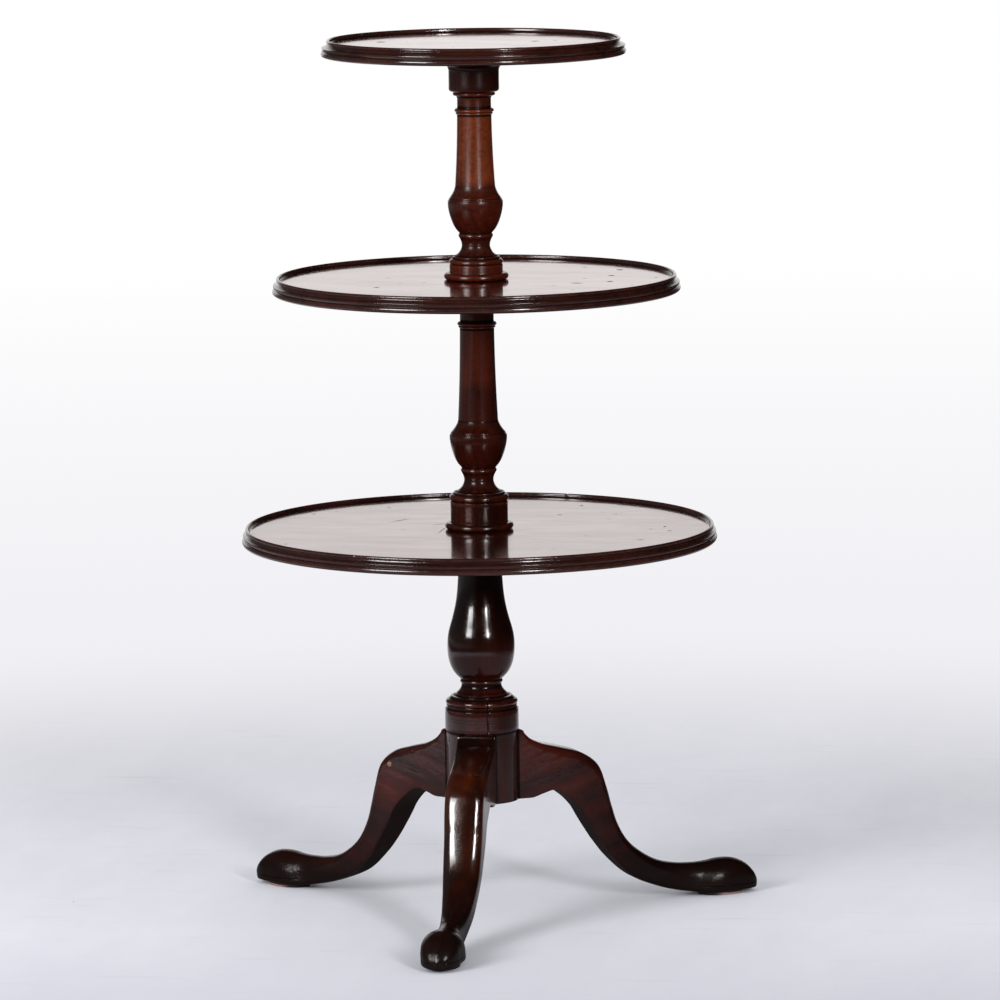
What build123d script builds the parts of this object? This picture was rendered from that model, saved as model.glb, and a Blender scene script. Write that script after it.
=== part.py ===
from build123d import *
from math import sqrt
import os

# A three-tier dumbwaiter: three dished trays that turn on a turned column over a tripod base.
# The origin is on the floor under the column's axis, +Z is up and the front leg points along -Y.

# Trays: the top rim stands at the overall height, and the lower rims at shares of it
overall_height = 1134.0
middle_rim_share = 0.7328
lower_rim_share = 0.44885
lower_tray_radius = 305.0
middle_tray_radius = 261.0
top_tray_radius = 194.5
tray_depth = 21.5
dish_depth = 5.2

# Edge moulding of a tray, measured down from the rim's top and in from its widest circle
lower_cove_inset = 5.7
middle_cove_inset = 6.5
top_cove_inset = 8.5
lip_radius = 2.1
lip_set = 0.7
lip_depth = 4.4
lip_swell = 1.75
dish_cove_radius = 2.4
cove_hollow = 1.1
edge_fillet_inset = 1.2
edge_fillet_top = 9.3
edge_fillet_low = 11.2
edge_groove_inset = 2.6
edge_groove_depth = 13.7
torus_swell = 3.3
underside_inset = 4.0

# Collars under the trays
lower_collar_height = 26.0
middle_collar_height = 17.0
top_collar_height = 46.5
lower_collar_radius = 37.0
middle_collar_radius = 30.0
top_collar_radius = 32.2
collar_flange_width = 24.0
collar_flange_thickness = 9.0
collar_foot_radius = 4.0
# The hollow under the flange, as a share of the height between the foot's round and the flange
collar_cove_share = 0.33

# Running and seating clearances
turning_gap = 0.3
running_clearance = 0.1
seat_clearance = 0.1
end_clearance = 1.0

# Spindles that the trays turn on, and the spigots that join the column's lengths
spindle_radius = 17.0
pin_radius = 15.0
pin_end_gap = 3.5
spigot_radius = 12.0
lower_spigot_length = 34.0
middle_spigot_length = 22.0

# Middle and upper column lengths
middle_ring_radius = 43.9
upper_ring_radius = 41.3
ring_swell_share = 0.42
middle_drum_radius = 36.8
upper_drum_radius = 34.0
bead_groove = 1.8
bead_swell_share = 0.3
bead_fillet_inset = 4.0
middle_vase_radius = 37.0
upper_vase_radius = 35.4
shoulder_step = 1.2
conge_hollow = 0.9
shaft_foot_radius = 25.6
shaft_top_radius = 22.0
shaft_hollow = 0.7
astragal_radius = 25.2
under_bead_radius = 23.8
neck_radius = 21.6
capital_cove_radius = 23.4
capital_cove_hollow = 0.4
capital_radius = 27.0

# Heights of each column length's members as shares of its length; the shaft has what is left
middle_shares = {"ring": 0.0295, "drum": 0.0955, "bead": 0.0319, "fillet": 0.0097, "vase": 0.2603,
                 "step": 0.0052, "conge": 0.0486, "under bead": 0.0104, "astragal": 0.0153, "neck": 0.0451,
                 "cove": 0.0118, "capital": 0.0167}
upper_shares = {"ring": 0.0355, "drum": 0.0451, "bead": 0.0288, "fillet": 0.0117, "vase": 0.3047,
                "step": 0.0063, "conge": 0.0584, "under bead": 0.0125, "astragal": 0.0184, "neck": 0.0543,
                "cove": 0.0142, "capital": 0.02}

# Vase of a column length, from its foot to its shoulder: height and radius shares.
# The waist, the ring above it and the belly are three smooth stretches.
waist_shares = [(0.0, 0.85), (0.042, 0.665), (0.078, 0.6), (0.147, 0.522), (0.21, 0.5), (0.287, 0.538),
                (0.33, 0.585)]
vase_ring_shares = [(0.34, 0.6), (0.4, 0.6)]
vase_ring_swell_share = 0.022
belly_shares = [(0.415, 0.585), (0.46, 0.68), (0.53, 0.775), (0.6, 0.84), (0.67, 0.89),
                (0.74, 0.933), (0.81, 0.966), (0.88, 0.988), (0.95, 1.0), (0.985, 0.99)]

# Base pillar
hub_foot_height = 151.0
hub_ledge_height = 243.0
hub_radius = 47.4
hub_ledge_step = 1.0
hub_drum_height = 27.5
hub_groove_depth = 1.9
hub_groove_height = 5.5
hub_bead_height = 7.0
hub_bead_inset = 2.9
hub_bead_swell = 1.9
hub_cove_height = 4.5
hub_cove_hollow = 0.8
hub_cove_radius = 39.5
hub_step_height = 2.4
hub_step_radius = 33.5
baluster_radius = 43.7
pillar_neck_radius = 28.2
pillar_neck_height = 6.2
pillar_capital_radius = 36.0
pillar_capital_height = 6.0
pillar_cove_height = 7.0
pillar_cove_hollow = 1.6

# Baluster of the base pillar above the hub: height and radius shares
neck_shares = [(0.0, 0.765), (0.018, 0.7), (0.036, 0.645), (0.052, 0.604), (0.072, 0.581), (0.088, 0.59)]
baluster_ring_shares = [(0.092, 0.6), (0.12, 0.6)]
baluster_ring_swell_share = 0.03
baluster_shares = [(0.128, 0.62), (0.155, 0.735), (0.19, 0.826), (0.225, 0.892), (0.26, 0.934), (0.3, 0.967),
                   (0.345, 0.988), (0.41, 1.0), (0.475, 0.985), (0.52, 0.962), (0.57, 0.917), (0.62, 0.86),
                   (0.67, 0.815), (0.72, 0.769), (0.78, 0.729), (0.84, 0.698), (0.9, 0.676), (1.0, 0.654)]

# Legs: reach is from the column's axis to the toe
leg_reach = 382.0
leg_thickness = 50.0
leg_angles = {"front": -90.0, "right": 30.0, "left": 150.0}
pad_lift = 5.0
pad_height = 46.5

# Leg from the hub outwards: reach and height shares of the top, then of the underside, then the width
# and the crown's rise as shares of the thickness. Reach runs from the hub's surface to the toe. Heights are
# shares of the hub's ledge height for the top and of the hub's foot height for the underside.
bracket_shares = [
    (-0.0313, 0.992, -0.0313, 0.99, 1, 0.02),
    (0.0052, 0.992, 0.0052, 0.99, 1, 0.03),
    (0.0404, 0.953, 0.0461, 0.994, 1, 0.06),
    (0.0996, 0.912, 0.0917, 1.033, 1, 0.1),
    (0.1839, 0.881, 0.1383, 1.05, 1, 0.13),
]
knee_shares = [
    (0.1839, 0.881, 0.1383, 1.05, 1, 0.13),
    (0.267, 0.844, 0.1861, 0.983, 1, 0.14),
    (0.3296, 0.772, 0.2192, 0.924, 1, 0.14),
    (0.3637, 0.65, 0.2487, 0.848, 1, 0.14),
    (0.3865, 0.539, 0.2727, 0.755, 0.99, 0.14),
    (0.4115, 0.436, 0.3011, 0.652, 0.97, 0.14),
    (0.4514, 0.342, 0.3387, 0.526, 0.93, 0.14),
    (0.5083, 0.27, 0.3888, 0.381, 0.85, 0.14),
    (0.58, 0.214, 0.4662, 0.225, 0.75, 0.14),
    (0.6574, 0.185, 0.5652, 0.123, 0.66, 0.14),
    (0.7314, 0.179, 0.654, 0.066, 0.62, 0.14),
    (0.8065, 0.185, 0.7496, 0.042, 0.62, 0.14),
]

# Pad foot, level by level: height share of the pad, reach shares of heel and toe, width share
# The lowest level lies under the pad's flat bottom and is cut away.
pad_shares = [(-0.06, 0.7553, 0.9317, 0.84), (0, 0.7405, 0.9567, 0.92), (0.09, 0.7245, 0.992, 1.03),
              (0.2, 0.7211, 1, 1.08), (0.35, 0.7223, 0.9909, 1.1), (0.53, 0.7302, 0.9693, 1.05),
              (0.71, 0.7473, 0.9419, 0.92), (0.86, 0.7758, 0.9135, 0.69), (0.955, 0.8122, 0.8862, 0.4),
              (1, 0.8452, 0.8566, 0.06)]

# Foot discs: centre and length as shares of the leg's run from the hub to the toe, width of its thickness
disc_centre_share = 0.851
disc_length_share = 0.185
disc_width_share = 0.86

# Dovetails that hold the legs in the hub
tongue_depth = 16.0
tongue_neck_width = 18.0
tongue_end_width = 24.0
tongue_stop = 11.0
tongue_root = 2.0
tongue_lift = 1.0

# Iron strap under the hub, with its nails
strap_thickness = 2.5
strap_hub_radius = 27.0
strap_arm_width = 20.0
strap_overhang = 21.6
hub_nail_reach = 18.0
leg_nail_distance = 11.6
nail_radius = 1.8
nail_tip_radius = 0.8
nail_length = 22.0
nail_head_radius = 4.2
nail_head_height = 1.8
nail_dome_share = 0.35

# Screws that hold each collar to its tray
screw_count = 4
first_screw_share = 0.5
screw_radius = 2.0
screw_length = 19.0
screw_point_length = 5.0
screw_point_radius = 0.5
screw_head_radius = 4.2
screw_head_height = 2.8
screw_slot_width = 0.9
screw_slot_depth = 1.0
screw_edge_distance = 8.5

# Cutters run this far past what they cut
overrun = 5.0

# Swell of a quarter round as a share of its radius
quarter_share = 1 - sqrt(0.5)

# Levels and reaches that follow from the sizes above
lower_rim_height = lower_rim_share * overall_height
middle_rim_height = middle_rim_share * overall_height
hub_socket_radius = hub_radius - hub_ledge_step
leg_run = leg_reach - hub_socket_radius
strap_reach = hub_socket_radius + strap_overhang
leg_nail_reach = hub_socket_radius + leg_nail_distance
lower_floor = lower_rim_height - dish_depth
middle_floor = middle_rim_height - dish_depth
lower_underside = lower_rim_height - tray_depth
middle_underside = middle_rim_height - tray_depth
top_underside = overall_height - tray_depth
pillar_top = lower_underside - lower_collar_height - turning_gap
middle_column_foot = lower_floor + turning_gap
middle_column_top = middle_underside - middle_collar_height - turning_gap
upper_column_foot = middle_floor + turning_gap
upper_column_top = top_underside - top_collar_height - turning_gap
spindle_bore = spindle_radius + running_clearance
pin_bore = pin_radius + running_clearance


# Turned shapes: rows of (radius, height, swell) run up the outside and back to the first row. Swell is how
# far the stretch that ends at a row bulges out of the wood, and rows marked "curve" share one smooth curve.
def turned(rows):
    points = [Vector(radius, 0, height) for radius, height, swell in rows]
    edges = []
    last = points[0]
    run = []
    for place, (radius, height, swell) in enumerate(rows[1:], start=1):
        if swell == "curve":
            run.append(points[place])
            if place + 1 == len(rows) or rows[place + 1][2] != "curve":
                edges.append(Spline(last, *run))
                last = run[-1]
                run = []
            continue
        point = points[place]
        if swell == 0:
            edges.append(Line(last, point))
        else:
            along = (point - last).normalized()
            outward = Vector(along.Z, 0, -along.X)
            edges.append(ThreePointArc(last, (last + point) / 2 + outward * swell, point))
        last = point
    edges.append(Line(last, points[0]))
    return revolve(Face(Wire(edges)), Axis.Z)


def curve_rows(shares, radius, foot, height):
    return [(share * radius, foot + level * height, "curve") for level, share in shares]


# A small ring on a vase or baluster: straight to its foot, then one round
def ring_rows(shares, swell_share, radius, foot, height):
    (low, share), (high, high_share) = shares
    return [
        (share * radius, foot + low * height, 0),
        (high_share * radius, foot + high * height, swell_share * radius),
    ]


def drill(radius, low, high):
    return Pos(0, 0, (low + high) / 2) * Cylinder(radius, high - low)


# Screws: countersunk head below, slotted, with a tapered point. The plain body also makes their holes.
def screw_body():
    return turned([
        (0, 0, None),
        (screw_head_radius, 0, 0),
        (screw_radius, screw_head_height, 0),
        (screw_radius, screw_length - screw_point_length, 0),
        (screw_point_radius, screw_length, 0),
        (0, screw_length, 0),
    ])


def screw_places(flange_radius, underside):
    circle = flange_radius - screw_edge_distance
    height = underside - collar_flange_thickness
    turns = [360 / screw_count * (place + first_screw_share) for place in range(screw_count)]
    return [Rot(0, 0, turn) * Pos(circle, 0, height) for turn in turns]


def screws(flange_radius, underside):
    slot = Pos(0, 0, screw_slot_depth / 2) * Box(2 * screw_head_radius, screw_slot_width, screw_slot_depth)
    screw = screw_body() - slot
    return [place * screw for place in screw_places(flange_radius, underside)]


def screw_holes(flange_radius, underside):
    return [place * screw_body() for place in screw_places(flange_radius, underside)]


# A tray: flat underside, torus, fillet, cove and lip on its edge, then the dished floor
def tray(radius, rim, cove_inset, bore, flange_radius):
    underside = rim - tray_depth
    lip = radius - cove_inset - lip_set
    wall = lip - lip_radius
    floor = rim - dish_depth
    blank = turned([
        (bore, underside, None),
        (radius - underside_inset, underside, 0),
        (radius - edge_groove_inset, rim - edge_groove_depth, torus_swell),
        (radius - edge_fillet_inset, rim - edge_fillet_low, 0),
        (radius - edge_fillet_inset, rim - edge_fillet_top, 0),
        (radius - cove_inset, rim - lip_depth, -cove_hollow),
        (lip, rim, lip_swell),
        (wall, rim - lip_radius, lip_radius * quarter_share),
        (wall, floor + dish_cove_radius, 0),
        (wall - dish_cove_radius, floor, -dish_cove_radius * quarter_share),
        (bore, floor, 0),
    ])
    return blank - screw_holes(flange_radius, underside)


# A collar: rounded foot, plain barrel, hollow and the wide flange that is screwed to the tray
def collar(radius, height, underside, bore):
    flange_radius = radius + collar_flange_width
    foot = underside - height
    flange = underside - collar_flange_thickness
    cove = (height - collar_flange_thickness - collar_foot_radius) * collar_cove_share
    block = turned([
        (bore, foot, None),
        (radius - collar_foot_radius, foot, 0),
        (radius, foot + collar_foot_radius, collar_foot_radius * quarter_share),
        (radius, flange - cove, 0),
        (radius + cove, flange, -cove * quarter_share),
        (flange_radius, flange, 0),
        (flange_radius, underside, 0),
        (bore, underside, 0),
    ])
    return block - screw_holes(flange_radius, underside)


# A column length between two trays: ring, drum, bead, vase, shaft, astragal and capital.
# Its foot has the socket for the spigot below, and journal_rows add what stands on the capital.
def column(foot, top, shares, ring_radius, drum_radius, vase_radius, socket_depth, journal_rows):
    heights = {member: share * (top - foot) for member, share in shares.items()}
    ring_swell = heights["ring"] * ring_swell_share
    drum_foot = foot + heights["ring"]
    bead_foot = drum_foot + heights["drum"]
    bead_inner = drum_radius - bead_groove
    fillet_foot = bead_foot + heights["bead"]
    fillet_radius = drum_radius - bead_fillet_inset
    vase_foot = fillet_foot + heights["fillet"]
    shoulder = vase_foot + heights["vase"]
    shoulder_radius = vase_radius * belly_shares[-1][1]
    conge_foot = shoulder + 2 * heights["step"]
    capital_foot = top - heights["capital"]
    neck_top = capital_foot - heights["cove"]
    neck_foot = neck_top - heights["neck"]
    astragal_foot = neck_foot - heights["astragal"]
    shaft_top = astragal_foot - heights["under bead"]
    under_bead_round = heights["under bead"] / 2
    astragal_round = heights["astragal"] / 2
    capital_round = heights["capital"] / 2
    body = turned([
        (0, foot, None),
        (ring_radius - ring_swell, foot, 0),
        (ring_radius - ring_swell, drum_foot, ring_swell),
        (drum_radius, drum_foot, 0),
        (drum_radius, bead_foot, 0),
        (bead_inner, bead_foot, 0),
        (bead_inner, fillet_foot, heights["bead"] * bead_swell_share),
        (fillet_radius, fillet_foot, 0),
        (fillet_radius, vase_foot, 0),
        *curve_rows(waist_shares, vase_radius, vase_foot, heights["vase"]),
        *ring_rows(vase_ring_shares, vase_ring_swell_share, vase_radius, vase_foot, heights["vase"]),
        *curve_rows(belly_shares, vase_radius, vase_foot, heights["vase"]),
        (shoulder_radius - shoulder_step, shoulder, 0),
        (shoulder_radius - shoulder_step, shoulder + heights["step"], 0),
        (shoulder_radius - 2 * shoulder_step, shoulder + heights["step"], 0),
        (shoulder_radius - 2 * shoulder_step, conge_foot, 0),
        (shaft_foot_radius, conge_foot + heights["conge"], -conge_hollow),
        (shaft_top_radius, shaft_top, -shaft_hollow),
        (under_bead_radius - under_bead_round, shaft_top, 0),
        (under_bead_radius - under_bead_round, astragal_foot, under_bead_round),
        (astragal_radius - astragal_round, astragal_foot, 0),
        (astragal_radius - astragal_round, neck_foot, astragal_round),
        (neck_radius, neck_foot, 0),
        (neck_radius, neck_top, 0),
        (capital_cove_radius, capital_foot, -capital_cove_hollow),
        (capital_radius - capital_round, capital_foot, 0),
        (capital_radius - capital_round, top, capital_round),
        *journal_rows,
    ])
    return body - drill(spigot_radius + seat_clearance, foot - overrun, foot + socket_depth)


# The spindle that a tray turns on, with the spigot that joins the next column length
def spindle_rows(foot, seat, spigot_length):
    return [
        (spindle_radius, foot, 0),
        (spindle_radius, seat, 0),
        (spigot_radius, seat, 0),
        (spigot_radius, seat + spigot_length, 0),
        (0, seat + spigot_length, 0),
    ]


# Base pillar: hub with its ledge, groove and bead, then the baluster, neck and capital
def base_pillar():
    groove_foot = hub_ledge_height + hub_drum_height
    bead_foot = groove_foot + hub_groove_height
    cove_foot = bead_foot + hub_bead_height
    step_foot = cove_foot + hub_cove_height
    baluster_foot = step_foot + hub_step_height
    capital_foot = pillar_top - pillar_capital_height
    neck_top = capital_foot - pillar_cove_height
    baluster_height = neck_top - pillar_neck_height - baluster_foot
    capital_inner = pillar_capital_radius - pillar_capital_height / 2
    return turned([
        (0, hub_foot_height, None),
        (hub_socket_radius, hub_foot_height, 0),
        (hub_socket_radius, hub_ledge_height, 0),
        (hub_radius, hub_ledge_height, 0),
        (hub_radius, groove_foot, 0),
        (hub_radius - hub_groove_depth, groove_foot, 0),
        (hub_radius - hub_groove_depth, bead_foot, 0),
        (hub_radius - hub_bead_inset, bead_foot, 0),
        (hub_radius - hub_bead_inset, cove_foot, hub_bead_swell),
        (hub_cove_radius, step_foot, -hub_cove_hollow),
        (hub_step_radius, step_foot, 0),
        (hub_step_radius, baluster_foot, 0),
        *curve_rows(neck_shares, baluster_radius, baluster_foot, baluster_height),
        *ring_rows(baluster_ring_shares, baluster_ring_swell_share, baluster_radius, baluster_foot,
                   baluster_height),
        *curve_rows(baluster_shares, baluster_radius, baluster_foot, baluster_height),
        (pillar_neck_radius, neck_top, 0),
        (capital_inner, capital_foot, -pillar_cove_hollow),
        (capital_inner, pillar_top, pillar_capital_height / 2),
        *spindle_rows(pillar_top, middle_column_foot, lower_spigot_length),
    ])


# Dovetail of a leg, seen from above: narrow at the hub's surface and wide at its inner end
def dovetail(root, clearance, low, high):
    end = hub_socket_radius - tongue_depth - clearance
    neck_half = tongue_neck_width / 2 + clearance
    end_half = tongue_end_width / 2 + clearance
    rate = (end_half - neck_half) / (hub_socket_radius - end)
    root_half = neck_half - (root - hub_socket_radius) * rate
    outline = Polyline((end, -end_half), (root, -root_half), (root, root_half), (end, end_half), close=True)
    return Pos(0, 0, low) * extrude(make_face(outline), high - low)


# One cross-section of a leg: flat underside and sides with a crowned top
def leg_section(top_reach, top_level, low_reach, low_level, width, crown):
    top = Vector(hub_socket_radius + top_reach * leg_run, 0, top_level * hub_ledge_height)
    low = Vector(hub_socket_radius + low_reach * leg_run, 0, low_level * hub_foot_height)
    side = Vector(0, width * leg_thickness / 2, 0)
    shoulder = top - (top - low).normalized() * (crown * leg_thickness)
    edges = [
        Line(low - side, low + side),
        Line(low + side, shoulder + side),
        ThreePointArc(shoulder + side, top, shoulder - side),
        Line(shoulder - side, low - side),
    ]
    return Face(Wire(edges))


# One level of a pad foot: an oval from heel to toe
def pad_section(level, heel, toe, width):
    height = pad_lift + level * (pad_height - pad_lift)
    centre = hub_socket_radius + (heel + toe) / 2 * leg_run
    return Plane((centre, 0, height)) * Ellipse((toe - heel) / 2 * leg_run, width * leg_thickness / 2)


# A leg along +X: bracket by the hub, knee and ankle, and pad foot, scribed to the hub, with its tongue
def leg():
    bracket = loft([leg_section(*row) for row in bracket_shares])
    shank = loft([leg_section(*row) for row in knee_shares])
    pad = loft([pad_section(*row) for row in pad_shares])
    hub = drill(hub_socket_radius, hub_foot_height - overrun, hub_ledge_height + overrun)
    under_hub = drill(strap_reach, hub_foot_height - overrun, hub_foot_height)
    under_pad = Pos(leg_reach / 2, 0, pad_lift - overrun) * Box(leg_reach, 2 * leg_thickness, 2 * overrun)
    tongue = dovetail(hub_socket_radius + tongue_root, 0, hub_foot_height + tongue_lift,
                      hub_ledge_height - tongue_stop)
    scribed = bracket + shank + pad - under_pad - hub - under_hub
    return scribed + tongue - Pos(leg_nail_reach, 0, 0) * nail_hole()


# Three-armed strap under the hub, with a rounded end on each arm
def strap():
    low = hub_foot_height - strap_thickness
    arm_length = strap_reach - strap_arm_width / 2
    blank = drill(strap_hub_radius, low, hub_foot_height)
    arm = Pos(arm_length / 2, 0, low + strap_thickness / 2) * Box(arm_length, strap_arm_width, strap_thickness)
    end = Pos(arm_length, 0, 0) * drill(strap_arm_width / 2, low, hub_foot_height)
    for angle in leg_angles.values():
        blank += Rot(0, 0, angle) * (arm + end)
    return blank


# Wrought nails: a domed head under the strap and a tapered shank in the wood
def nail():
    seat = hub_foot_height - strap_thickness
    return turned([
        (0, seat - nail_head_height, None),
        (nail_head_radius, seat, nail_head_height * nail_dome_share),
        (nail_radius, seat, 0),
        (nail_tip_radius, seat + nail_length, 0),
        (0, seat + nail_length, 0),
    ])


def nail_hole():
    seat = hub_foot_height - strap_thickness
    return turned([
        (0, seat - overrun, None),
        (nail_radius, seat - overrun, 0),
        (nail_radius, seat, 0),
        (nail_tip_radius, seat + nail_length, 0),
        (0, seat + nail_length, 0),
    ])


def nail_places():
    reaches = (hub_nail_reach, leg_nail_reach)
    return [Rot(0, 0, angle) * Pos(reach, 0, 0) for angle in leg_angles.values() for reach in reaches]


# Foot disc along +X, flat on the floor and under its pad
def foot_disc():
    centre = hub_socket_radius + disc_centre_share * leg_run
    oval = Ellipse(disc_length_share * leg_run / 2, disc_width_share * leg_thickness / 2)
    return extrude(Pos(centre, 0, 0) * oval, pad_lift)


nodes = {}

# Tripod base
pillar = base_pillar()
for angle in leg_angles.values():
    pillar -= Rot(0, 0, angle) * dovetail(hub_radius + overrun, seat_clearance, hub_foot_height - overrun,
                                          hub_ledge_height - tongue_stop + seat_clearance)
nodes["base_pillar"] = pillar - [place * nail_hole() for place in nail_places()]
for side, angle in leg_angles.items():
    nodes["leg_" + side] = Rot(0, 0, angle) * leg()
    nodes["foot_disc_" + side] = Rot(0, 0, angle) * foot_disc()
nodes["leg_brace"] = strap() - [place * nail_hole() for place in nail_places()]
nodes["brace_nails"] = Compound([place * nail() for place in nail_places()])

# Column lengths above the base
nodes["middle_column"] = column(
    middle_column_foot, middle_column_top, middle_shares, middle_ring_radius, middle_drum_radius,
    middle_vase_radius, lower_spigot_length + end_clearance,
    spindle_rows(middle_column_top, upper_column_foot, middle_spigot_length))
nodes["upper_column"] = column(
    upper_column_foot, upper_column_top, upper_shares, upper_ring_radius, upper_drum_radius,
    upper_vase_radius, middle_spigot_length + end_clearance,
    [(pin_radius, upper_column_top, 0), (pin_radius, top_underside - pin_end_gap, 0),
     (0, top_underside - pin_end_gap, 0)])

# Tiers: each tray turns with its collar and the screws between them
tiers = [
    ("lower", lower_tray_radius, lower_rim_height, lower_cove_inset, spindle_bore, spindle_bore,
     lower_collar_radius, lower_collar_height),
    ("middle", middle_tray_radius, middle_rim_height, middle_cove_inset, spindle_bore, spindle_bore,
     middle_collar_radius, middle_collar_height),
    ("top", top_tray_radius, overall_height, top_cove_inset, 0, pin_bore,
     top_collar_radius, top_collar_height),
]
for name, radius, rim, cove_inset, tray_bore, collar_bore, collar_radius, collar_height in tiers:
    flange_radius = collar_radius + collar_flange_width
    underside = rim - tray_depth
    nodes[name + "_tray"] = tray(radius, rim, cove_inset, tray_bore, flange_radius)
    nodes[name + "_collar"] = collar(collar_radius, collar_height, underside, collar_bore)
    nodes[name + "_collar_screws"] = Compound(screws(flange_radius, underside))

os.makedirs("parts", exist_ok=True)
for name, shape in nodes.items():
    export_step(shape, "parts/" + name + ".step")
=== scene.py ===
from math import atan2, ceil, copysign, cos, exp, hypot, pi, radians, sin

import bpy
from mathutils import Matrix, Vector, noise


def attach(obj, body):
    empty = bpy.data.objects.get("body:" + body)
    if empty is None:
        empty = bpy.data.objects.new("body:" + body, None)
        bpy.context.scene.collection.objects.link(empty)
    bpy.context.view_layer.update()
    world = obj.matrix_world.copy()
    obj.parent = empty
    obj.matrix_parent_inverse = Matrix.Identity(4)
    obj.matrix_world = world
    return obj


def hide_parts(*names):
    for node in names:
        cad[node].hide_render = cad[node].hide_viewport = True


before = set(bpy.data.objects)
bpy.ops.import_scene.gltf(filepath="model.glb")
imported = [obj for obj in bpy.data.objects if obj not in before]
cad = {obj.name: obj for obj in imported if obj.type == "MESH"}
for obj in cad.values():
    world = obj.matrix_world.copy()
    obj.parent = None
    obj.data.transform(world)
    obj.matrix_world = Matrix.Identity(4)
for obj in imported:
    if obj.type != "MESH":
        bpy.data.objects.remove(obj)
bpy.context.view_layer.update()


# Base pillar. One billet of mahogany turned between centres: the hub that takes the legs, the
# baluster above it and the spindle for the lowest tray. It was stained dark and French polished,
# and long years of wax have blackened its hollows, which carry painted shade too. The upper baluster is
# painted darker as shade. The hub has split along the grain, and the split is painted dark inside as shade.
mm = 0.001


def linear(hex_colour):
    """The linear colour of an sRGB hex value, with full alpha."""
    shares = [int(hex_colour[place:place + 2], 16) / 255 for place in (1, 3, 5)]
    return [share / 12.92 if share <= 0.04045 else ((share + 0.055) / 1.055) ** 2.4 for share in shares] + [1]


def add(tree, kind, inputs=(), **settings):
    """Adds a node to a tree. Settings are its properties. Inputs are values or sockets for its inputs, in their
    order, or by name or number."""
    made = tree.nodes.new(kind)
    for name, value in settings.items():
        setattr(made, name, value)
    for name, value in (inputs if isinstance(inputs, dict) else dict(enumerate(inputs))).items():
        if isinstance(value, bpy.types.NodeSocket):
            tree.links.new(value, made.inputs[name])
        else:
            made.inputs[name].default_value = value
    return made


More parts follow.
